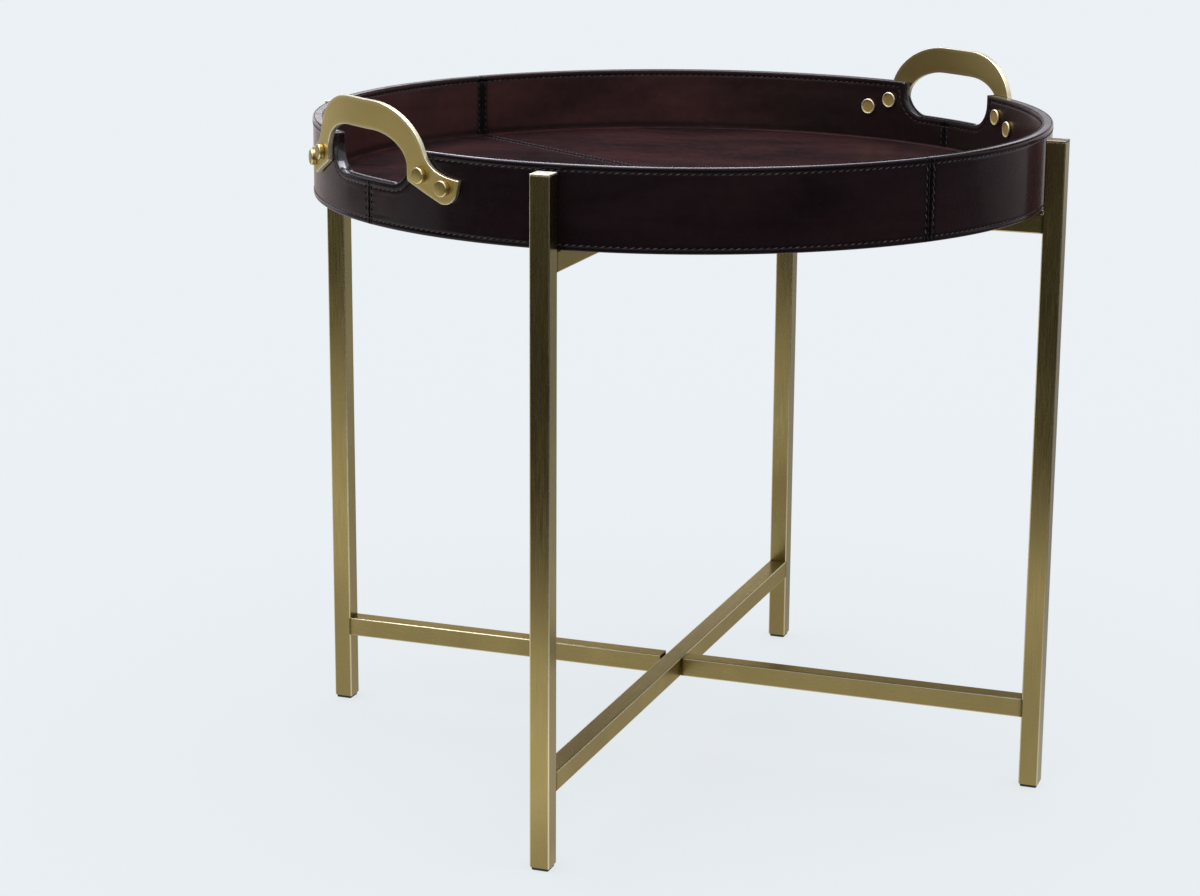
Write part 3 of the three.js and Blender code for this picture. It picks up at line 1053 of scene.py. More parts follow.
def around(radius: np.ndarray, reach: np.ndarray, height: np.ndarray, middle: float) -> np.ndarray:
    """Bends a flat chart round the tray.

    The angle is the middle's plus reach / 300, and the point is (radius cos, radius sin, height).

    Args:
        radius: Distances from the tray's axis.
        reach: Lengths along the wall, on a radius of 300, from the middle.
        height: Heights.
        middle: The angle of the chart's middle, in degrees from +X.

    Returns:
        The points.
    """
    angle = math.radians(middle) + reach / TrayPlan.radius
    return np.stack(np.broadcast_arrays(radius * np.cos(angle), radius * np.sin(angle), height), -1)


def radial(places: np.ndarray, sign: float) -> np.ndarray:
    """Unit directions away from the tray's axis, or towards it for a sign of -1."""
    flat = places * (1.0 - UPWARDS)
    return sign * flat / np.linalg.norm(flat, axis=1, keepdims=True)


@dataclass(frozen=True)
class WallChart:
    """The wall of one panel laid flat: reach along the wall from the handle's middle, and height.

    The panel goes from the seam in the cut-out's floor to its plain seam. Its upper outline follows the
    cut-out's floor, corner and side and then the rim. An inner line at a depth d is the same outline drawn
    in by d: its straights move by d, the round corner of the cut-out grows by d as far as the side has room
    for it, and the rim's corner shrinks by d until it is nearly sharp.
    """

    plan: TrayPlan
    start: float
    end: float
    low: float
    offset: float
    middle: float
    sign: float = 1.0
    pace: float = 3.0
    rim_corner: float = 2.2
    least_corner: float = 0.25
    least_side: float = 0.2
    foot_start: float = 25.0
    foot_end: float = 115.0
    seam_places: tuple[float, ...] = (0.0, 0.15, 0.4, 0.8, 1.4, 2.0, 2.7, 3.4, 4.1, 4.9, 6.0, 8.0)

    def columns(self) -> np.ndarray:
        """The places along the outline, as a run of shares: whole numbers part its five stretches.

        Returns:
            The shares, growing.
        """
        plan, close = self.plan, np.array(self.seam_places)
        floor = max(4, int((plan.cutout_half - plan.cutout_corner - self.start) / self.pace))
        span = self.end - plan.cutout_half
        runs = [
            np.union1d(np.linspace(0, 1, floor + 1), close / (plan.cutout_half - self.start)),
            1.0 + np.linspace(0, 1, 11),
            2.0 + np.linspace(0, 1, 7),
            3.0 + np.linspace(0, 1, 7),
            4.0 + np.union1d(np.linspace(0, 1, int(span / self.pace) + 1), 1.0 - close / span),
        ]
        return np.unique(np.concatenate(runs))

    def outline(self, depth: float) -> np.ndarray:
        """The upper outline drawn in by a depth, at every column.

        Args:
            depth: How far it is drawn in.

        Returns:
            Reach and height as (columns, 2).
        """
        plan, share = self.plan, self.columns()
        half = plan.cutout_half + self.offset + depth
        floor = plan.rim - plan.cutout_depth - self.offset - depth
        radius = plan.cutout_corner + self.offset + depth
        tight = max(self.rim_corner - depth, self.least_corner)
        rim = plan.rim - depth
        on_floor, low_turn, side, high_turn, on_rim = (np.clip(share - i, 0.0, 1.0) for i in range(5))
        low_turn, high_turn = (low_turn - 1.0) * QUARTER, math.pi - high_turn * QUARTER
        rise = min(radius, rim - tight - self.least_side - floor)
        arc_x, arc_z = half - radius, floor + rise
        stretches = [share <= i for i in (1.0, 2.0, 3.0, 4.0)]
        reach = [
            self.start + (arc_x - self.start) * on_floor,
            arc_x + radius * np.cos(low_turn),
            np.full_like(share, half),
            half + tight + tight * np.cos(high_turn),
        ]
        height = [
            np.full_like(share, floor),
            arc_z + rise * np.sin(low_turn),
            arc_z + (rim - tight - arc_z) * side,
            rim - tight + tight * np.sin(high_turn),
        ]
        last_reach = half + tight + (self.end - half - tight) * on_rim
        last_height = np.full_like(share, rim)
        both = (np.select(stretches, reach, last_reach), np.select(stretches, height, last_height))
        return np.stack(both, -1)

    def bent(self, radius: np.ndarray, reach: np.ndarray, height: np.ndarray) -> np.ndarray:
        """The points of some reaches and heights, bent round the tray at a radius."""
        return around(radius, self.sign * reach, height, self.middle)

    def foot(self) -> np.ndarray:
        """The reach of every column at the bottom: its own far from the cut-out, evened out near it.

        Returns:
            A reach for each column.
        """
        edge = self.outline(0.0)
        length, near, far = lengths(edge), self.foot_start, self.foot_end
        first = np.interp(near, edge[:, 0], length)
        last = length[-1] - (edge[-1, 0] - far)
        evened = near + (far - near) * (length - first) / (last - first)
        return np.where((length < first) | (length > last), edge[:, 0], evened)

    def grid(self, depths: np.ndarray, rows: int, lifts: np.ndarray) -> tuple[np.ndarray, np.ndarray]:
        """Covers the panel from its upper outline to its bottom.

        Rows at the given depths come first, then rows between the deepest of them and the highest lift,
        by the mean of their ends, then rows at the given lifts over the bottom.

        Args:
            depths: Distances from the upper outline, growing.
            rows: How many rows lie between.
            lifts: Heights over the bottom, falling.

        Returns:
            Reach and height as (rows, columns, 2), and each row's distance from the nearer edge.
        """
        upper = np.stack([self.outline(depth) for depth in depths])
        reach = self.foot()
        lower = np.stack([np.stack([reach, np.full_like(reach, self.low + lift)], -1) for lift in lifts])
        share = np.linspace(0.0, 1.0, rows + 2)[1:-1, None, None]
        between = upper[-1:] * (1.0 - share) + lower[:1] * share
        far = np.full(rows, self.plan.radius)
        return np.concatenate([upper, between, lower]), np.concatenate([depths, far, lifts])


@dataclass
class Stitcher:
    """Sews rows of slanted stitches, each a short thread that dips into the leather at both ends."""

    workshop: Workshop
    material: bpy.types.Material
    length: float = 4.5
    thickness: float = 0.78
    flatness: float = 0.8
    lift: float = 0.5
    sink: float = 0.35
    slant: float = 17.0
    rings: int = 5
    sides: int = 6

    def row(self, places: np.ndarray, along: np.ndarray, out: np.ndarray) -> Shell:
        """Makes one capsule at each place.

        Along a stitch, with a share a from 0 to 1, its middle line stands lift sin(pi a) - sink out of
        the leather, and its radius is the thread's times 0.5 + 0.5 sin(pi a).

        Args:
            places: The stitches' middles on the leather, as (count, 3).
            along: Unit directions of the seam.
            out: Unit directions out of the leather.

        Returns:
            The stitches as one shell.
        """
        turn = math.radians(self.slant)
        way = along * math.cos(turn) + np.cross(out, along) * math.sin(turn)
        side = np.cross(out, way)
        share = (np.arange(self.rings) + 0.6) / (self.rings + 0.2)
        swell = np.sin(math.pi * share)
        line = (share - 0.5) * self.length
        rise = self.lift * swell - self.sink * (1.0 - swell)
        radius = self.thickness / 2 * (0.5 + 0.5 * swell)
        angle = np.arange(self.sides) * TURN / self.sides
        wide = radius[:, None] * np.cos(angle)
        high = rise[:, None] + radius[:, None] * np.sin(angle) * self.flatness
        middle = places[:, None, None, :] + line[:, None, None] * way[:, None, None, :]
        rings = middle + wide[..., None] * side[:, None, None, :] + high[..., None] * out[:, None, None, :]
        half, deep = way * self.length / 2, out * self.sink
        return Shell.capsules(rings, places - half - deep, places + half - deep)

    def on_wall(self, line: np.ndarray, pitch: float, trim: float, facing: float, sign: float = 1.0) -> Shell:
        """Sews along a line on the wall.

        Args:
            line: The line, as (count, 3).
            pitch: The distance between two stitches.
            trim: What is left free at each end.
            facing: 1 outside the wall and -1 inside.
            sign: -1 to slant the stitches the other way along the line.

        Returns:
            The stitches as one shell.
        """
        places, way = spaced(line, pitch, trim)
        return self.row(places, way * sign, radial(places, facing))

    def sew(self, name: str, rows: Sequence[Shell], slot: Slot) -> None:
        """Puts rows of stitches into the scene as one piece."""
        self.workshop.put(name, Shell.joined(rows), Body.TRAY, slot, self.material)


@dataclass
class TrayWall:
    """The leather of the wall: four outer panels, four lining panels folded over the rim, two edgings."""

    workshop: Workshop
    plan: TrayPlan
    stitcher: Stitcher
    rows: tuple[float, ...] = (
        (0.0, 0.06, 0.2, 0.42, 0.7, 1.1, 1.7, 2.4, 3.1, 3.7, 4.2, 4.6, 5.0, 5.5, 6.2, 7.2, 9.0)
    )
    lining_lifts: tuple[float, ...] = (9.0, 5.0, 3.0, 1.6, 0.8, 0.0)
    outer_rows: int = 34
    lining_rows: int = 16
    groove: float = 0.38
    groove_width: float = 0.75
    seam_groove_width: float = 0.8
    seam_groove_share: float = 0.8
    least_depth: float = 0.02
    seam_bead: Press = Press(1.8, 0.9, 0.16)
    seam_rub: Press = Press(0.0, 5.4, 1.05, 6)
    gathers: Press = Press(2.6, 2.2, 0.16)
    lip: Press = Press(2.2, 1.6, 0.32)
    stitch_rub: Press = Press(4.4, 1.3, 0.88)
    edge_rub: float = 0.45
    # Painted shade: the lining is darkened about the right handle, centred at this bearing in degrees.
    painted_shade_side: Press = Press(65.0, 33.0, 0.72, 4)
    slack: float = 0.12
    slack_start: float = 5.0
    slack_reach: float = 4.0
    flat_face: float = 0.34
    roll: float = 1.3
    lining_roll: float = 0.85
    deepest: float = 1.38
    lining_deepest: float = 1.25
    fall: float = 0.26
    fold_shoulder: float = 1.25
    fold_brow: float = 0.6
    fold_thickness: float = 1.25
    fold_depth: float = 3.0
    fold_wave: float = 0.07
    fold_end: float = 0.9
    fold_tuck: float = 0.02
    fold_hem: tuple[tuple[float, float], ...] = ((0.5, 0.0), (0.1, 0.3))
    fold_ledge: float = 1.9
    fold_face: float = 1.2
    edging_round: float = 0.62
    edging_crown: float = 0.6
    edging_overlap: float = 0.1
    edging_depth: float = 1.38
    stitch_trim: float = 5.0
    seam_trim: float = 1.0
    lining_seam_low: float = 1.5
    panels: tuple[tuple[str, str, float], ...] = (
        ("back", "right", 1.0),
        ("left", "left", -1.0),
        ("front", "left", 1.0),
        ("right", "right", -1.0),
    )

    def chart(self, middle: float, sign: float, low: float) -> WallChart:
        """The flat chart of a panel that lies to one side of its handle.

        Args:
            middle: The angle of the handle's middle.
            sign: 1 for a panel on the side of growing angles, and -1 for one on the other side.
            low: The height of its bottom edge.

        Returns:
            The chart, with reaches counted away from the handle's middle.
        """
        plan = self.plan
        seam, half_gap = sign * plan.seam_reach(), plan.seam_gap / 2
        end = seam + QUARTER * plan.radius - half_gap
        return WallChart(plan, seam + half_gap, end, low, plan.edging + plan.edging_gap, middle, sign)

    def skin(self, chart: WallChart, outer: bool, seed: int) -> Shell:
        """Makes a panel's leather as one closed shell.

        The visible side stands back by a rounded edge, rises in a lip along the rim and the bottom, is
        pressed in along every row of stitches, and is drawn in and gathered at the seams. The lining is
        painted darker about the right handle, a painted shade.

        Args:
            chart: The panel laid flat.
            outer: Whether it is an outer panel, seen from outside.
            seed: The seed of its unevenness.

        Returns:
            The shell, with its rub high on pressed lines and edges, and on the lining's painted shade.
        """
        plan, fine = self.plan, np.array(self.rows)
        lifts = fine[::-1] if outer else np.array(self.lining_lifts)
        grid, distance = chart.grid(fine, self.outer_rows if outer else self.lining_rows, lifts)
        reach, height = grid[..., 0], grid[..., 1]
        is_top = (np.arange(len(distance)) < len(fine))[:, None]
        distance = np.broadcast_to(distance[:, None], reach.shape)
        shaped = is_top | outer
        to_row = distance - np.where(is_top, plan.top_row, plan.bottom_row)
        to_seam = np.minimum(reach - chart.start, chart.end - reach)
        sunk = np.where(shaped, Press(0.0, self.groove_width, self.groove).at(to_row), 0.0)
        lip = np.where(shaped, self.lip.at(distance), 0.0)
        edge = np.where(shaped, eased(distance, self.roll if outer else self.lining_roll), 0.0)
        seam = Press(plan.seam_row, self.seam_groove_width, self.groove * self.seam_groove_share).at(to_seam)
        seam = seam + eased(to_seam, self.roll) - self.seam_bead.at(to_seam)
        gathers = np.sin(TURN * height / plan.stitch + 0.8 * np.sin(height / 5.0 + seed))
        seam = seam + gathers * self.gathers.at(to_seam)
        taut = np.clip((distance - self.slack_start) / self.slack_reach, 0.0, 1.0)
        slack = self.slack * ripple(reach, height * 1.6, seed) * taut
        depth = np.maximum(self.flat_face + sunk - lip + slack + edge, edge) + seam
        depth = np.clip(depth, self.least_depth, self.deepest if outer else self.lining_deepest)
        radius = plan.radius - depth if outer else plan.lining_inner + depth - self.flat_face * 0.5
        rub_and_painted_light = np.clip(self.stitch_rub.at(distance) + self.seam_rub.at(to_seam), 0.0, 1.0)
        # Painted shade laid on the lining about the right handle.
        if not outer:
            bearing = chart.middle + np.degrees(chart.sign * reach / plan.radius)
            rub_and_painted_light = np.maximum(rub_and_painted_light, self.painted_shade_side.at(bearing))
        rub_and_painted_light = np.maximum(rub_and_painted_light, np.where((distance < self.stitch_rub.place) & shaped, self.edge_rub, 0.0))
        back = np.full(reach.shape[1], plan.wall_inner if outer else plan.lining_outer)
        sections = [chart.bent(radius, reach, height)]
        sections += [chart.bent(back, reach[row], height[row])[None] for row in (-1, 0)]
        rubs = np.concatenate([rub_and_painted_light, np.ones((2, rub_and_painted_light.shape[1]))]).T
        return Shell.loft(np.concatenate(sections).transpose(1, 0, 2), rubs)

    def fold(self, chart: WallChart, seed: int) -> Shell:
        """Makes the strip of lining that is folded over the rim, as a section carried along the panel.

        Args:
            chart: The lining panel laid flat.
            seed: The seed of its unevenness.

        Returns:
            The closed strip.
        """
        plan, big, small = self.plan, self.fold_shoulder, self.fold_brow
        inner, outer, top = plan.lining_inner - self.fold_tuck, plan.fold_outer, plan.rim
        low, under = top - self.fall, top - self.fold_thickness
        inward, down = quarter_round(big, 7)
        shoulder = np.stack([inner + inward, low - down], -1)[:-1]
        down, inward = quarter_round(small, 7)
        brow = np.stack([outer - inward, top - down], -1)
        reach_in = np.linspace(inner + big, outer - small, 7)[:-1]
        share = (reach_in - inner - big) / (outer - small - inner - big)
        crown = np.stack([reach_in, low + self.fall * share], -1)
        hem = [[inner + inward, top - self.fold_depth + up] for inward, up in self.fold_hem]
        ledge = [[outer, under], [inner + self.fold_ledge, under]]
        section = np.concatenate([hem, shoulder, crown, brow, ledge])
        reach = chart.outline(0.0)[:, 0][chart.columns() >= 4.0]
        reach = np.unique(np.append(reach, plan.cutout_half + chart.offset))
        ends = np.minimum(reach - reach[0], reach[-1] - reach)
        radius = section[:, 0] + np.zeros((len(reach), 1))
        upper = section[:, 1] > top - self.fold_face
        wave = self.fold_wave * (ripple(reach[:, None], radius * 4.0, seed) - 1.0)
        height = section[:, 1] + (wave - eased(ends, self.fold_end)[:, None]) * upper
        return Shell.loft(chart.bent(radius, reach[:, None], height), np.where(upper, 0.1, 0.9))

    def edging_strip(self, middle: float) -> Shell:
        """Makes a cut-out's edging: a rounded strip carried round its U, from rim to rim.

        Args:
            middle: The angle of the handle's middle.

        Returns:
            The closed strip.
        """
        plan, r = self.plan, self.edging_round
        chart = WallChart(plan, 0.0, 120.0, plan.underside, 0.0, middle, rim_corner=0.25)
        keep = chart.columns() <= 3.0
        inside, outside = chart.outline(0.0)[keep], chart.outline(plan.edging)[keep]
        inside[-1, 1] = outside[-1, 1] = plan.rim
        inside, outside = mirrored(inside), mirrored(outside)
        low, high = plan.lining_inner - self.edging_overlap, plan.radius + plan.edging_gap
        inward, down = quarter_round(r, 6)
        first = np.stack([low + inward, self.edging_crown + down], -1)
        last = first[::-1] * MIRROR + (low + high, 0.0)
        share = np.linspace(-1.0, 1.0, 9)[1:-1]
        centre, half = (low + high) / 2, (high - low) / 2 - r
        crown = np.stack([centre + share * half, self.edging_crown * share**2], -1)
        ends = [[[edge, self.edging_depth]] for edge in (low, high)]
        section = np.concatenate([ends[0], first, crown, last, ends[1]])
        across = (section[:, 1] / plan.edging)[None, :, None]
        line = inside[:, None, :] * (1 - across) + outside[:, None, :] * across
        rub_and_painted_light = np.where(section[:, 1] > 0.3, 0.6, 0.1)
        return Shell.loft(chart.bent(section[:, 0], line[..., 0], line[..., 1]), rub_and_painted_light)

    def stitch_lines(self, chart: WallChart, radius: float, outer: bool) -> dict[str, list[np.ndarray]]:
        """The lines that a panel is sewn along.

        Args:
            chart: The panel laid flat.
            radius: How far the bottom of the grooves is from the tray's axis.
            outer: Whether it is an outer panel, which has a row along its bottom too.

        Returns:
            The line under the rim and the cut-out, the one over the bottom, and those beside both seams.
        """
        plan = self.plan
        path = chart.outline(plan.top_row)
        lines = {"rim": [chart.bent(radius, path[:, 0], path[:, 1])], "bottom": []}
        low = chart.low + (plan.bottom_row if outer else self.lining_seam_low)
        if outer:
            level = np.linspace(chart.start, chart.end, 160)
            lines["bottom"].append(chart.bent(radius, level, low))
        top = plan.rim - plan.top_row
        cut = top - plan.cutout_depth - chart.offset
        ends = ((chart.start + plan.seam_row, cut), (chart.end - plan.seam_row, top))
        lines["seams"] = [chart.bent(radius, reach, np.linspace(low, high, 20)) for reach, high in ends]
        return lines

    def build(self) -> None:
        """Builds the panels, folds, edgings and all the wall's stitches."""
        plan, put, sewn = self.plan, self.workshop.put, {}
        wall = Hide(
            name="wall_hide",
            light=(0.0135, 0.0055, 0.007),
            dark=(0.0052, 0.0026, 0.0034),
            pressed=(0.0026, 0.0014, 0.0019),
            stretch=(0.5, 0.5, 5.0),
            roughness=0.27,
            gloss=0.4,
            shine=0.09,
            sheen=0.2,
            coat_roughness=0.09,
            coat_ior=1.3,
            bloom=(1.0, 0.4, 0.43),
        ).material()
        burnished = Hide(
            name="burnished_hide",
            light=(0.017, 0.008, 0.0105),
            dark=(0.007, 0.0036, 0.005),
            pressed=(0.0035, 0.002, 0.0026),
            stretch=(3.0, 3.0, 0.5),
            roughness=0.22,
            gloss=0.75,
            grain=0.14,
            sheen=0.15,
            coat_roughness=0.08,
        ).material()
        lining = Hide(
            name="lining_hide",
            light=(0.082, 0.026, 0.024),
            dark=(0.009, 0.0036, 0.0046),
            pressed=(0.0022, 0.0011, 0.0015),
            stretch=(0.45, 0.45, 5.0),
            roughness=0.36,
            gloss=0.12,
            sheen=0.05,
            spread=(0.1, 1.5),
            fleck=0.5,
        ).material()
        middles = plan.handle_middles()
        stand_off = plan.radius - self.flat_face - self.groove
        stand_in = plan.lining_inner + self.flat_face * 0.5 + self.groove
        for seed, (name, handle, sign) in enumerate(self.panels):
            middle = middles[handle]
            outer, inner = (self.chart(middle, sign, low) for low in (plan.underside, plan.floor_low))
            skin = self.skin(outer, True, 11 + seed)
            put(f"outer_panel_{name}", skin, Body.TRAY, Slot.WALL, wall, [f"wall_leather_{name}"])
            skin = self.skin(inner, False, 31 + seed)
            put(f"lining_panel_{name}", skin, Body.TRAY, Slot.LINING, lining, [f"lining_{name}"])
            fold = self.fold(inner, 51 + seed)
            put(f"lining_fold_{name}", fold, Body.TRAY, Slot.LINING, burnished)
            sides = (("outside", 1.0, outer, stand_off), ("inside", -1.0, inner, stand_in))
            for side, facing, chart, radius in sides:
                for row, lines in self.stitch_lines(chart, radius, facing > 0).items():
                    trim, slant = (self.seam_trim, 1.0) if row == "seams" else (self.stitch_trim, sign)
                    threads = sewn.setdefault((row, side), [])
                    for line in lines:
                        threads.append(self.stitcher.on_wall(line, plan.stitch, trim, facing, slant))
        for name, middle in middles.items():
            strip = self.edging_strip(middle)
            put(f"cutout_roll_{name}", strip, Body.TRAY, Slot.WALL, burnished, [f"cutout_edging_{name}"])
        for (row, side), threads in sewn.items():
            if threads:
                slot = Slot.WALL if side == "outside" else Slot.LINING
                self.stitcher.sew(f"stitches_{row}_{side}", threads, slot)


@dataclass
class TrayFloor:
    """The floor leather in two halves sewn along a diameter, and the leather under the tray."""

    workshop: Workshop
    plan: TrayPlan
    stitcher: Stitcher
    edge: float = 290.9
    edge_gap: float = 0.12
    half_gap: float = 0.08
    least_step: float = 0.01
    seam_edge: float = 0.3
    seam_row: float = 4.2
    seam_depth: float = 0.25
    seam_half: float = 283.0
    seam_swell: Press = Press(2.0, 1.7, 0.04)
    seam_groove: Press = Press(4.2, 0.8, 0.2)
    seam_rub: Press = Press(0.0, 4.0, 0.85)
    roll_width: float = 4.5
    roll_height: float = 1.25
    roll_turn_share: float = 0.72
    roll_crease: Press = Press(5.4, 1.0, 0.12)
    roll_rub: Press = Press(-5.6, 1.3, 0.6)
    slack: float = 0.13
    even_half: float = 279.0
    even_steps: int = 121
    between_steps: int = 44
    near_wall: tuple[float, ...] = (0.0, 0.3, 0.7, 1.2, 1.8, 2.4, 3.0, 3.7, 4.5, 5.4, 6.6, 8.2, 10.2)
    near_seam: tuple[float, ...] = (
        (0.08, 0.12, 0.2, 0.38, 0.7, 1.3, 2.0, 2.6, 3.2, 3.7, 4.2, 4.7, 5.3, 6.2, 8.0, 11.0)
    )
    rings: tuple[float, ...] = (9.0, 6.6, 5.6, 5.0, 4.5, 4.0, 3.5, 3.0, 2.5, 2.0, 1.5, 1.0, 0.5, 0.2, 0.0)
    cover: float = 1.2
    cover_radius: float = 298.3
    cover_rings: tuple[float, ...] = (0.0, 0.1, 0.35, 0.8, 1.6, 2.8, 3.4, 4.0, 4.6, 5.2, 6.4, 9.0, 20.0)
    cover_groove: Press = Press(4.0, 0.8, 0.35)
    cover_rub: Press = Press(0.0, 5.0, 0.7)
    cover_wave: float = 0.1
    cover_lift: float = 0.02
    cover_edge: float = 0.6
    cover_stitch: float = 6.5
    cover_sides: int = 240
    cover_inner: float = 45.0
    cover_hub: float = 12.0
    cover_inner_rings: int = 9
    cover_calm: float = 20.0
    cover_inset: float = 0.1
    cover_thread: float = 0.38

    def height(self, across: np.ndarray, along: np.ndarray, seed: int) -> np.ndarray:
        """The height of the floor's face over a half disc.

        It lies flat with a slow unevenness, swells beside the seam, is pressed in by the stitches, rolls
        down into the seam, and rises in a ridge against the lining.

        Args:
            across: Distances from the seam's middle.
            along: Lengths along the seam.
            seed: The seed of the unevenness.

        Returns:
            The heights.
        """
        to_wall = self.edge - np.hypot(across, along)
        risen = np.clip(1.0 - to_wall / self.roll_width, 0.0, 1.0)
        ridge = self.roll_height * np.sin(risen * math.pi * self.roll_turn_share)
        swell = self.seam_swell.at(across) - self.seam_groove.at(across)
        slack = self.slack * ripple(along, across, seed, 9)
        drop = eased(across - self.half_gap, self.seam_edge) + self.roll_crease.at(to_wall)
        return self.plan.floor_top + ridge + swell + slack - drop

    def half(self, turn: float, seed: int) -> Shell:
        """Makes one half of the floor leather, as sections across the seam carried along it.

        Args:
            turn: The angle of the seam, in degrees from +X, with the half on its left.
            seed: The seed of its unevenness.

        Returns:
            The closed half.
        """
        outer = self.edge - self.edge_gap - np.array(self.near_wall)
        inner = np.linspace(-self.even_half, self.even_half, self.even_steps)
        along = np.union1d(inner, np.concatenate([outer, -outer]))[:, None]
        reach = np.sqrt(self.edge**2 - along**2)
        near = np.broadcast_to(self.near_seam, (len(along), len(self.near_seam)))
        far = np.sqrt(np.maximum((self.edge - np.array(self.rings)) ** 2 - along**2, 0.0))
        share = np.linspace(0.0, 1.0, self.between_steps)[1:-1]
        between = near[:, -1:] * (1 - share) + np.maximum(far[:, :1], near[:, -1:]) * share
        across = np.concatenate([near, between, far], 1)
        steps = self.least_step * np.arange(across.shape[1])
        across = np.maximum.accumulate(across, 1) + steps
        across = np.maximum(np.minimum(across, reach - steps[::-1]), self.half_gap + steps)
        face = self.height(across, along, seed)
        bottom = np.full((len(along), 2), self.plan.floor_low)
        y = np.concatenate([across, across[:, -1:], across[:, :1]], 1)
        z = np.concatenate([face, bottom], 1)
        x = np.broadcast_to(along, y.shape)
        cos, sin = math.cos(math.radians(turn)), math.sin(math.radians(turn))
        rub_and_painted_light = self.seam_rub.at(y) + self.roll_rub.at(np.hypot(x, y) - self.edge)
        return Shell.loft(np.stack([x * cos - y * sin, x * sin + y * cos, z], -1), np.clip(rub_and_painted_light, 0.0, 1.0))

    def under(self) -> Shell:
        """Makes the leather under the tray: a disc turned from its section, pressed in near its edge.

        Returns:
            The closed disc.
        """
        r, low = self.cover_radius, self.plan.underside
        middle = np.linspace(self.cover_inner, r - self.cover_hub, self.cover_inner_rings)
        distance = np.concatenate([self.cover_rings, middle])[::-1]
        rise = self.cover_lift + eased(distance, self.cover_edge) + self.cover_groove.at(distance)
        angle = np.linspace(0.0, TURN, self.cover_sides, endpoint=False)
        x, y = ((r - distance)[:, None] * way for way in (np.cos(angle), np.sin(angle)))
        calm = np.clip(distance / self.cover_calm, 0.0, 1.0)[:, None]
        waves = self.cover_wave * (ripple(x, y, 77, 8) + 1.0) * calm
        bottom = np.stack([x, y, low + rise[:, None] + waves], -1)
        rim = r - self.cover_inset
        upper = np.stack(np.broadcast_arrays(rim * np.cos(angle), rim * np.sin(angle), low + self.cover), -1)
        rub_and_painted_light = np.append(self.cover_rub.at(distance), 1.0)
        return Shell.loft(np.concatenate([bottom, upper[None]]), rub_and_painted_light[:, None])

    def build(self) -> None:
        """Builds both halves, the leather under the tray, and their stitches."""
        plan, put, out = self.plan, self.workshop.put, self.stitcher
        hide = Hide(
            name="floor_hide",
            light=(0.07, 0.02, 0.0185),
            dark=(0.0105, 0.004, 0.005),
            pressed=(0.003, 0.0014, 0.0018),
            stretch=(0.6, 5.0, 0.6),
            roughness=0.38,
            gloss=0.05,
            shine=0.08,
            sheen=0.03,
            spread=(0.41, 1.23),
            fleck=0.5,
        ).material()
        under = Hide(
            name="underside_hide",
            light=(0.02, 0.012, 0.012),
            dark=(0.008, 0.005, 0.006),
            pressed=(0.004, 0.003, 0.003),
            stretch=(1.0, 3.0, 1.0),
            roughness=0.7,
            gloss=0.0,
            grain=0.6,
        ).material()
        seam = plan.seam_angle - 90.0
        for i, name in enumerate(("right", "left")):
            half = self.half(seam + 180.0 * i, 5 + i)
            put(f"floor_panel_{name}", half, Body.TRAY, Slot.FLOOR, hide, [f"floor_leather_{name}"])
        put("under_panel", self.under(), Body.TRAY, Slot.UNDERSIDE, under, ["underside_cover"])
        angle = math.radians(seam)
        way = np.array([math.cos(angle), math.sin(angle), 0.0])
        level = (plan.floor_top - self.seam_depth) * UPWARDS
        rows = []
        for sign in (1.0, -1.0):
            beside = sign * self.seam_row * np.cross(UPWARDS, way) + level
            places, along = spaced(np.outer([-self.seam_half, self.seam_half], way) + beside, plan.stitch)
            rows.append(out.row(places, along, np.broadcast_to(UPWARDS, places.shape)))
        out.sew("stitches_floor", rows, Slot.FLOOR)
        turn = np.linspace(0.0, TURN, 400)
        radius, height = self.cover_radius - self.cover_groove.place, plan.underside + self.cover_thread
        line = np.stack(np.broadcast_arrays(radius * np.cos(turn), radius * np.sin(turn), height), -1)
        places, along = spaced(line, self.cover_stitch)
        row = out.row(places, along, np.broadcast_to(-UPWARDS, places.shape))
        out.sew("stitches_underside", [row], Slot.UNDERSIDE)


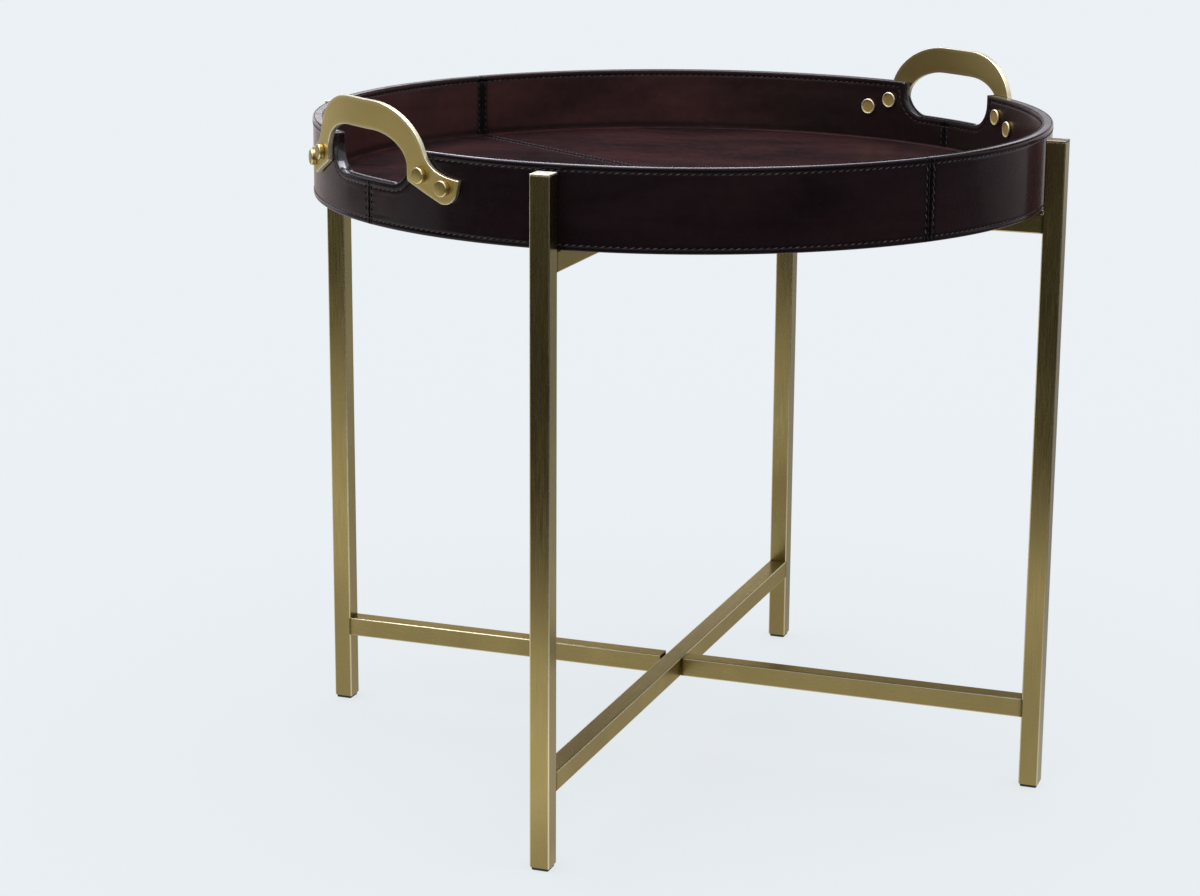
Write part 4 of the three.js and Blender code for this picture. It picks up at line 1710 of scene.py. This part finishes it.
@dataclass(frozen=True)
class BentHandle:
    """The sizes of a handle: an arch between two feet, cut from plate and bent round the wall.

    Reaches run along the wall from the handle's middle, and drops down from the rim.
    """

    inner: float = 300.3
    thickness: float = 4.0
    rise: float = 33.0
    depth: float = 22.0
    flat_half: float = 17.0
    gap_half: float = 58.0
    arm: float = 18.5
    outer_drop: float = 44.0
    inner_drop: float = 24.0
    arch_end: float = 17.0
    sweep_ease: float = 14.0
    corner_drop: float = 22.5
    rivet_margin: float = 14.0
    rivet_drop: float = 17.0
    rivet_pitch: float = 22.5
    rivet_fall: float = 7.5
    tip_overhang: float = 14.5
    tip_lift: float = 6.5
    tip_ease: float = 20.0
    tip_slope: float = 5.0
    toe_radius: float = 12.2
    toe_start: float = -12.0
    toe_end: float = -112.0
    corner_round: float = 1.5
    edge_round: float = 0.55
    tip_round_share: float = 0.9

    def rivets(self) -> list[tuple[float, float]]:
        """The reach and drop of each rivet, from the handle's left foot to its right one.

        Returns:
            Four pairs of a reach and a drop.
        """
        near = self.gap_half + self.rivet_margin
        far = near + self.rivet_pitch
        low = self.rivet_drop + self.rivet_fall
        return [(-far, low), (-near, self.rivet_drop), (near, self.rivet_drop), (far, low)]

    def arch(self, reach: float, top: float, drop: float, turn: np.ndarray) -> np.ndarray:
        """An arch of half the handle: a quarter of an ellipse beside the level stretch of the grip.

        Args:
            reach: How far it goes out past the level stretch.
            top: The height of the level stretch.
            drop: How far it comes down.
            turn: The angles that it is drawn at.

        Returns:
            Reach and height as (angles, 2).
        """
        return np.stack([self.flat_half + reach * np.cos(turn), top - drop + drop * np.sin(turn)], -1)

    def upper_edge(self, rim: float, steps: int) -> np.ndarray:
        """The upper edge of one half, from the middle of the grip to the foot's tip.

        A level stretch, an ellipse down to the arch's end, and a Bezier curve that sweeps out to the tip.

        Args:
            rim: The height of the rim.
            steps: How many points the edge gets, evenly by length.

        Returns:
            Reach and height as (steps, 2).
        """
        top = rim + self.rise
        reach = self.gap_half + self.arm - self.flat_half
        end, slope = math.radians(self.arch_end), math.radians(self.tip_slope)
        arch = self.arch(reach, top, self.outer_drop, np.linspace(QUARTER, end, 80))
        way = np.array([reach * math.sin(end), -self.outer_drop * math.cos(end)])
        neck, leave = arch[-1], arch[-1] + self.sweep_ease * way / np.linalg.norm(way)
        far, low = self.rivets()[3]
        tip = np.array([far + self.tip_overhang, rim - low + self.tip_lift])
        guide = tip + self.tip_ease * np.array([-math.cos(slope), math.sin(slope)])
        t = np.linspace(0.0, 1.0, 60)[:, None]
        sweep = (1 - t) ** 3 * neck + 3 * (1 - t) ** 2 * t * leave + 3 * (1 - t) * t**2 * guide + t**3 * tip
        return self.even(np.concatenate([[[0.0, top]], arch, sweep[1:]]), steps)

    def lower_edge(self, rim: float, steps: int) -> np.ndarray:
        """The lower edge of one half, from the middle of the grip to the start of the toe.

        A level stretch, an ellipse to where the gap is widest, the inner corner of the foot, and the toe.

        Args:
            rim: The height of the rim.
            steps: How many points the edge gets, evenly by length.

        Returns:
            Reach and height as (steps, 2).
        """
        under = rim + self.rise - self.depth
        down = np.linspace(QUARTER, 0.0, 60)
        arch = self.arch(self.gap_half - self.flat_half, under, self.inner_drop, down)
        far, low = self.rivets()[3]
        turn = np.radians(np.linspace(self.toe_end, self.toe_start, 60))
        toe = np.stack([far + self.toe_radius * np.cos(turn), rim - low + self.toe_radius * np.sin(turn)], -1)
        corner = np.array([self.gap_half, rim - self.corner_drop])
        before = corner + self.corner_round * np.array([0.0, 1.0])
        after = corner + self.corner_round * (toe[0] - corner) / np.linalg.norm(toe[0] - corner)
        t = np.linspace(0.0, 1.0, 8)[:, None]
        turned = (1 - t) ** 2 * before + 2 * (1 - t) * t * corner + t**2 * after
        return self.even(np.concatenate([[[0.0, under]], arch, turned, toe]), steps)

    @staticmethod
    def even(path: np.ndarray, steps: int) -> np.ndarray:
        """Spreads a number of points evenly along a path."""
        return along_path(path, np.linspace(0.0, lengths(path)[-1], steps))


@dataclass
class HandlePair:
    """Both handles with their rivets: heads outside, dished caps inside."""

    workshop: Workshop
    plan: TrayPlan
    shape: BentHandle = field(default_factory=BentHandle)
    steps: int = 110
    across: int = 7
    # The edges' values turn them to the paler edge colour: polish, and partly a painted highlight.
    face_rub: float = 0.45
    head_radius: float = 6.2
    head_height: float = 4.3
    head_round: float = 1.1
    head_crown: float = 0.18
    head_break: float = 0.25
    crown_shares: tuple[float, ...] = (0.97, 0.8, 0.6, 0.4, 0.2, 0.06)
    barrel: float = 2.8
    bore: float = 1.7
    bore_floor: float = 0.2
    # The head's rim takes the paler edge colour: polish, partly a painted highlight.
    head_edge: range = range(8, 13)
    cap_radius: float = 6.8
    cap_height: float = 1.8
    cap_round: float = 0.7
    cap_rim: float = 1.3
    cap_dish: float = 0.5
    cap_bank: tuple[tuple[float, float], ...] = ((0.0, 0.3), (0.25, 0.06), (0.5, 0.0))
    cap_break: float = 0.2
    # The cap's rim takes the paler edge colour: polish, partly a painted highlight.
    cap_edge: range = range(5, 12)
    dish_crown: float = 0.12
    dish_shares: tuple[float, ...] = (0.05, 0.3, 0.6, 0.85)
    stud: float = 1.4
    stud_length: float = 9.0
    stud_break: float = 0.3
    gap: float = 0.3
    sides: int = 40

    def plate(self, middle: float) -> Shell:
        """Makes a handle: sections from its lower to its upper edge, carried from foot to foot.

        A section is a flat strip with rounded edges, r in from the edge by r (1 - cos) and in from the
        face by r (1 - sin). The whole is bent round the tray's axis.

        Args:
            middle: The angle of the handle's middle.

        Returns:
            The closed handle, with its rub on the polished edges, whose paler colour is partly a painted
            highlight.
        """
        shape, rim, r = self.shape, self.plan.rim, self.shape.edge_round
        upper, lower = (mirrored(edge(rim, self.steps)) for edge in (shape.upper_edge, shape.lower_edge))
        span = np.linalg.norm(upper - lower, axis=1)[:, None]
        inward, sunk = quarter_round(r, 5)
        flat, zeros, ones = np.zeros(self.across), np.zeros(len(sunk)), np.ones(len(sunk))
        rows = np.linspace(0.0, 1.0, self.across + 2)[1:-1]
        outside, inside = shape.inner + shape.thickness, shape.inner
        ease = np.concatenate([inward, flat, -inward[::-1], -inward, flat, inward[::-1]])
        share = np.concatenate([zeros, rows, ones, ones, rows[::-1], zeros])
        outer_side = [outside - sunk, outside + flat, outside - sunk[::-1]]
        inner_side = [inside + sunk, inside + flat, inside + sunk[::-1]]
        radius = np.concatenate(outer_side + inner_side)
        is_flat = (ease == 0.0) & (share > 0.0) & (share < 1.0)
        inset = np.where(is_flat, r / span + share * (1 - 2 * r / span), share + ease / span)
        place = lower[:, None, :] * (1 - inset[..., None]) + upper[:, None, :] * inset[..., None]
        on_face = (radius > outside - 0.02) | (radius < inside + 0.02)
        worn = np.where(is_flat, 0.0, np.where(on_face, self.face_rub, 1.0))
        at_tip = np.isin(np.arange(len(upper)), (0, len(upper) - 1))[:, None]
        thinned = np.where(at_tip, 1.0 - 2 * shape.tip_round_share * r / shape.thickness, 1.0)
        centre = inside + shape.thickness / 2
        depth = centre + (radius - centre) * thinned
        return Shell.loft(around(depth, place[..., 0], place[..., 1], middle), np.where(at_tip, 1.0, worn))

    def turned(
        self, profile: Sequence[tuple[float, float]], reach: float, drop: float, middle: float, rim: range
    ) -> Shell:
        """Turns a profile about a line that runs outwards through the wall.

        Args:
            profile: Radius about the line and distance from the tray's axis, from one end to the other.
            reach: Where the line passes the wall, along it.
            drop: How far under the rim.
            middle: The angle of the handle's middle.
            rim: The points of the profile on its polished edge, which is paler partly as a painted highlight.

        Returns:
            The closed shell.
        """
        outline = np.array(profile)
        angle = np.linspace(0.0, TURN, self.sides, endpoint=False)
        wide, high = outline[:, :1] * np.cos(angle), outline[:, :1] * np.sin(angle)
        bearing = math.radians(middle) + reach / self.plan.radius
        out = np.array([math.cos(bearing), math.sin(bearing), 0.0])
        rings = outline[:, 1, None, None] * out + wide[..., None] * np.cross(UPWARDS, out)
        rings = rings + (high[..., None] + self.plan.rim - drop) * UPWARDS
        shell = Shell.capsules(rings[None], rings[:1].mean(1), rings[-1:].mean(1))
        worn = np.isin(np.arange(len(outline)), rim).astype(float)
        shell.rub_and_painted_light = np.concatenate([np.repeat(worn, len(angle)), [0.0, 0.0]])
        return shell

    def head_profile(self) -> list[tuple[float, float]]:
        """A rivet's outer half from the bottom of its bore to the crown of its head.

        Returns:
            Pairs of a radius about the rivet's line and a distance from the tray's axis.
        """
        low = self.shape.inner + self.shape.thickness + self.gap
        high, end = low + self.head_height, self.plan.lining_inner
        bore_end = end + self.stud_length
        r, edge, crown, broken = self.head_round, self.head_radius, self.head_crown, self.head_break
        start = [(self.bore_floor, bore_end), (self.bore, bore_end), (self.bore, end)]
        start += [(self.barrel, end), (self.barrel, low), (edge - broken, low), (edge, low + broken)]
        rounded = [(edge - inward, high - crown - down) for inward, down in zip(*quarter_round(r, 8))]
        return start + rounded + [((edge - r) * s, high - crown * s * s) for s in self.crown_shares]

    def cap_profile(self) -> list[tuple[float, float]]:
        """A rivet's inner half from its dished face to the end of its stud.

        Returns:
            Pairs of a radius about the rivet's line and a distance from the tray's axis.
        """
        back = self.plan.lining_inner - self.gap
        face, tip = back - self.cap_height, back + self.stud_length
        edge, start = self.cap_radius, self.cap_radius - self.cap_rim
        dish = [(start * s, face + self.cap_dish - self.dish_crown * s * s) for s in self.dish_shares]
        bank = [(start + out, face + up) for out, up in self.cap_bank]
        brow = [(edge - inward, face + down) for down, inward in zip(*quarter_round(self.cap_round, 6))]
        tail = [(edge, back - self.cap_break), (edge - self.cap_break, back), (self.stud, back)]
        tail += [(self.stud, tip - self.stud_break), (self.stud - self.stud_break, tip)]
        return dish + bank + brow + tail

    def build(self) -> None:
        """Builds the handles and rivets, and dresses them."""
        # The edge colours are paler than the brass: polish, and partly a painted highlight on the rounded
        # edges.
        satin = BrushedBrass(
            name="handle_brass_satin",
            along=Along.X,
            bright=(0.65, 0.505, 0.185),
            aged=(0.55, 0.425, 0.15),
            edge=(0.88, 0.81, 0.56),
            roughness=0.4,
        ).material()
        polished, bright = (
            BrushedBrass(name, Along.Z, *colours, roughness=roughness, brushing=0.05).material()
            for name, colours, roughness in (
                ("rivet_brass", ((0.52, 0.4, 0.14), (0.44, 0.335, 0.115), (0.8, 0.7, 0.42)), 0.3),
                ("rivet_cap_brass", ((0.91, 0.68, 0.23), (0.76, 0.53, 0.155), (0.99, 0.93, 0.72)), 0.5),
            )
        )
        put, slot = self.workshop.put, Slot.HANDLE_BRASS
        for name, middle in self.plan.handle_middles().items():
            put(f"grip_{name}", self.plate(middle), Body.TRAY, slot, satin, [f"handle_{name}"])
            for i, (reach, drop) in enumerate(self.shape.rivets(), 1):
                tag = f"{name}_{i}"
                head = self.turned(self.head_profile(), reach, drop, middle, self.head_edge)
                put(f"grip_rivet_{tag}", head, Body.TRAY, slot, polished, [f"rivet_{tag}"])
                cap = self.turned(self.cap_profile(), reach, drop, middle, self.cap_edge)
                put(f"grip_cap_{tag}", cap, Body.TRAY, slot, bright, [f"rivet_cap_{tag}"])


# The studio


@dataclass(frozen=True)
class PhotoCamera:
    """The camera at the photograph's angle, turned about a point of the table."""

    azimuth: float = 20.2252
    elevation: float = 14.22559
    roll: float = 0.31666
    distance: float = 2.45214
    target: Triple = (-0.06957, 0.0, 0.25142)
    focal: float = 2889.94567
    frame_width: float = 1200.0
    sensor: float = 36.0
    clip_end: float = 50.0

    def build(self) -> None:
        """Sets up the camera: its back axis points from the target at the azimuth and elevation."""
        az, el, roll = (math.radians(angle) for angle in (self.azimuth, self.elevation, self.roll))
        back = Vector((math.sin(az) * math.cos(el), -math.cos(az) * math.cos(el), math.sin(el)))
        right = Vector((0.0, 0.0, 1.0)).cross(back).normalized()
        up = back.cross(right)
        across = right * math.cos(roll) + up * math.sin(roll)
        upward = up * math.cos(roll) - right * math.sin(roll)
        turn = Matrix((across, upward, back)).transposed().to_4x4()
        data = bpy.data.cameras.new("photo_camera")
        data.sensor_fit = "HORIZONTAL"
        data.sensor_width = self.sensor
        data.lens = self.focal * self.sensor / self.frame_width
        data.clip_end = self.clip_end
        camera = placed("photo_camera", data)
        camera.matrix_world = Matrix.Translation(Vector(self.target) + back * self.distance) @ turn
        bpy.context.scene.camera = camera


@dataclass(frozen=True)
class SoftBox:
    """A soft lamp that only reflections see: its middle, what it faces, its sides and its brightness."""

    name: str
    place: Triple
    aim: Triple
    size: tuple[float, float]
    brightness: float
    colour: Triple

    def build(self) -> None:
        """Hangs the lamp, with the power that gives its surface that brightness: pi times area times it."""
        data = bpy.data.lights.new(self.name, "AREA")
        data.shape = "RECTANGLE"
        data.size, data.size_y = self.size
        data.energy = self.brightness * math.pi * self.size[0] * self.size[1]
        data.color = self.colour
        lamp = placed(self.name, data)
        way = Vector(self.aim) - Vector(self.place)
        turn = way.to_track_quat("-Z", "Y").to_matrix().to_4x4()
        lamp.matrix_world = Matrix.Translation(Vector(self.place)) @ turn
        lamp.visible_camera = lamp.visible_diffuse = lamp.visible_transmission = False


@dataclass(frozen=True)
class Ramp:
    """A soft change of brightness along an axis, or another direction, between two places on it."""

    way: Along | Triple
    start: float
    end: float
    at_start: float
    at_end: float

    def direction(self) -> Triple:
        """The direction as a vector."""
        return tuple(float(way is self.way) for way in Along) if isinstance(self.way, Along) else self.way


@dataclass(frozen=True)
class ReflectionCard:
    """A studio card that only reflections see: its brightness is a level times all its ramps.

    It spans two corners: lying flat where they are at one height, and upright over the line between them
    where they are not.
    """

    name: str
    low: Triple
    high: Triple
    level: float
    ramps: tuple[Ramp, ...]
    tint: Triple = (1.0, 0.985, 0.975)

    def corners(self) -> list[Triple]:
        """The four corners, in order round the card.

        Returns:
            Four points in metres.
        """
        (x0, y0, z0), (x1, y1, z1) = self.low, self.high
        if z0 == z1:
            return [(x0, y0, z0), (x1, y0, z0), (x1, y1, z0), (x0, y1, z0)]
        return [(x0, y0, z0), (x1, y1, z0), (x1, y1, z1), (x0, y0, z1)]

    def build(self) -> None:
        """Puts up the card, hidden from every ray but the glossy ones."""
        mesh = bpy.data.meshes.new(self.name)
        mesh.from_pydata(self.corners(), [], [(0, 1, 2, 3)])
        sheet = NodeSheet(self.name)
        source = sheet.add("ShaderNodeTexCoord")
        emission = sheet.add("ShaderNodeEmission")
        emission.inputs["Color"].default_value = (*self.tint, 1.0)
        glow = sheet.add("ShaderNodeValue").outputs[0]
        glow.default_value = self.level
        for ramp in self.ramps:
            reach = sheet.add("ShaderNodeVectorMath", operation="DOT_PRODUCT")
            sheet.join(source.outputs["Object"], reach.inputs[0])
            reach.inputs[1].default_value = ramp.direction()
            share = sheet.spread(reach.outputs["Value"], ramp.start, ramp.end, ramp.at_start, ramp.at_end)
            product = sheet.add("ShaderNodeMath", operation="MULTIPLY")
            sheet.join(glow, product.inputs[0])
            sheet.join(share, product.inputs[1])
            glow = product.outputs[0]
        sheet.join(glow, emission.inputs["Strength"])
        sheet.join(emission.outputs[0], sheet.tree.nodes["Material Output"].inputs["Surface"])
        mesh.materials.append(sheet.material)
        card = placed(self.name, mesh)
        for ray in ("camera", "diffuse", "shadow", "transmission", "volume_scatter"):
            setattr(card, f"visible_{ray}", False)
        card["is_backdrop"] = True


@dataclass(frozen=True)
class Studio:
    """A plain pale floor, a pale world, a large soft lamp and the cards that reflections see."""

    floor_colour: Triple = (0.19, 0.196, 0.202)
    floor_shade: float = 0.985
    floor_glow: Triple = (0.672, 0.706, 0.731)
    backdrop: Triple = (0.83, 0.87, 0.915)
    light: Triple = (0.96, 0.975, 1.0)
    light_level: float = 0.9
    floor_half: float = 9.0
    lamp: SoftBox = SoftBox(
        name="overhead_softbox",
        place=(-0.5, 0.3, 2.9),
        aim=(0.0, 0.0, 0.3),
        size=(2.2, 2.2),
        brightness=7.5,
        colour=(0.95, 0.9, 1.0),
    )
    cards: tuple[ReflectionCard, ...] = (
        ReflectionCard(
            "floor_card",
            (-7.0, -7.0, 0.0006),
            (7.0, 1.6, 0.0006),
            1.0,
            (
                Ramp((-0.37, 0.93, 0.0), -0.87, -0.62, 0.03, 1.0),
                # Painted shadow: darker from just in front of the table backwards, for the table's shadow on
                # the floor.
                Ramp(Along.Y, -0.5, -0.25, 1.05, 0.68),
                Ramp(Along.Y, -0.1, 0.5, 1.0, 0.8),
                Ramp(Along.X, 0.35, 1.15, 1.0, 0.12),
                Ramp(Along.X, -2.0, -1.2, 0.78, 1.0),
            ),
        ),
        ReflectionCard(
            "far_floor_card",
            (-7.0, 1.6, 0.0006),
            (7.0, 7.0, 0.0006),
            0.95,
            (Ramp(Along.X, 0.3, 1.2, 1.0, 0.5), Ramp(Along.Y, 2.4, 3.6, 0.52, 1.0)),
        ),
        ReflectionCard(
            "back_flag",
            (-4.0, 2.7, 0.87),
            (4.0, 2.7, 3.2),
            0.86,
            (
                Ramp(Along.Z, 1.04, 1.24, 1.0, 0.05),
                Ramp(Along.Z, 2.0, 3.2, 1.0, 7.0),
                Ramp(Along.X, -1.1, -0.6, 1.0, 0.5),
            ),
        ),
        ReflectionCard(
            "horizon_card",
            (-4.0, 2.7, 0.68),
            (4.0, 2.7, 0.87),
            2.6,
            (Ramp(Along.X, -0.9, -0.4, 1.0, 0.35), Ramp(Along.Z, 0.84, 0.87, 1.0, 0.4)),
            (0.95, 0.9, 1.0),
        ),
        ReflectionCard(
            "front_flag",
            (-3.2, -3.0, 0.0),
            (3.2, -3.0, 1.4),
            1.0,
            (Ramp(Along.Z, 0.0, 1.4, 0.07, 0.2),),
        ),
        ReflectionCard(
            "right_flag",
            (3.2, -3.0, 0.0),
            (3.2, 1.3, 2.4),
            1.0,
            (Ramp(Along.Z, 0.0, 2.4, 0.1, 0.3),),
        ),
        ReflectionCard(
            "left_flag",
            (-3.2, -3.0, 0.0),
            (-3.2, 0.6, 2.4),
            1.0,
            (Ramp(Along.Z, 0.0, 2.4, 0.12, 0.5), Ramp(Along.Y, -2.0, 0.0, 0.1, 1.0)),
        ),
    )

    def floor(self) -> None:
        """Lays the floor: it glows a little, so that the table's shadow stays faint."""
        mesh = bpy.data.meshes.new("studio_floor")
        h = self.floor_half
        mesh.from_pydata([(-h, -h, 0.0), (h, -h, 0.0), (h, h, 0.0), (-h, h, 0.0)], [], [(0, 1, 2, 3)])
        sheet = NodeSheet("studio_floor")
        darker = tuple(channel * self.floor_shade for channel in self.floor_colour)
        tone = sheet.mix(sheet.noise(scale=0.8, detail=2.0), self.floor_colour, darker)
        sheet.join(tone, sheet.shader.inputs["Base Color"])
        glow = (*self.floor_glow, 1.0)
        sheet.fix({"Roughness": 0.9, "Specular IOR Level": 0.0})
        sheet.fix({"Emission Color": glow, "Emission Strength": 1.0})
        mesh.materials.append(sheet.material)
        floor = placed("studio_floor", mesh)
        floor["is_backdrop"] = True

    def world(self) -> None:
        """Sets the world: the backdrop's colour where it is seen, and a plain soft light elsewhere."""
        world = bpy.data.worlds.new("studio_world")
        world.use_nodes = True
        tree = world.node_tree
        tree.nodes.clear()
        rays = tree.nodes.new("ShaderNodeLightPath")
        seen = rays.outputs["Is Camera Ray"]
        for name in ("Is Glossy Ray", "Is Transmission Ray"):
            either = tree.nodes.new("ShaderNodeMath")
            either.operation = "MAXIMUM"
            tree.links.new(seen, either.inputs[0])
            tree.links.new(rays.outputs[name], either.inputs[1])
            seen = either.outputs[0]
        soft, shown = (tree.nodes.new("ShaderNodeBackground") for _ in range(2))
        soft.inputs["Color"].default_value = (*self.light, 1.0)
        soft.inputs["Strength"].default_value = self.light_level
        shown.inputs["Color"].default_value = (*self.backdrop, 1.0)
        mix = tree.nodes.new("ShaderNodeMixShader")
        output = tree.nodes.new("ShaderNodeOutputWorld")
        for i, source in enumerate((seen, soft.outputs[0], shown.outputs[0])):
            tree.links.new(source, mix.inputs[i])
        tree.links.new(mix.outputs[0], output.inputs["Surface"])
        bpy.context.scene.world = world

    def build(self) -> None:
        """Sets up the floor, the world, the lamp and the cards."""
        self.floor()
        self.world()
        self.lamp.build()
        for card in self.cards:
            card.build()
        bpy.context.scene.view_settings.view_transform = "Standard"


def dress_wood() -> None:
    """Gives the hidden board and hoop, which keep their CAD shapes, their plywood."""
    for node, stretch in (("base_board", (0.06, 1.0, 1.0)), ("rim_hoop", (1.0, 1.0, 0.06))):
        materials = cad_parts[node].data.materials
        materials.clear()
        materials.append(Plywood(f"{node}_plywood", stretch).material())
        log.info("%s: kept from the CAD model", node)


def corners() -> list[list[float]]:
    """The lowest and highest corners of what shows, as plain lists."""
    return [[float(number) for number in corner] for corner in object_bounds()]


def main() -> None:
    """Builds the table and its studio."""
    logging.basicConfig(level=logging.INFO, format="%(message)s")
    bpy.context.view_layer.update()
    PhotoCamera().build()
    Studio().build()
    workshop = Workshop()
    plan = TrayPlan()
    stitcher = Stitcher(workshop, Thread().material())
    TubeStand(workshop).build()
    TrayFloor(workshop, plan, stitcher).build()
    TrayWall(workshop, plan, stitcher).build()
    HandlePair(workshop, plan).build()
    dress_wood()
    log.info("%d pieces made", len(workshop.made))


if __name__ == "__main__":
    main()
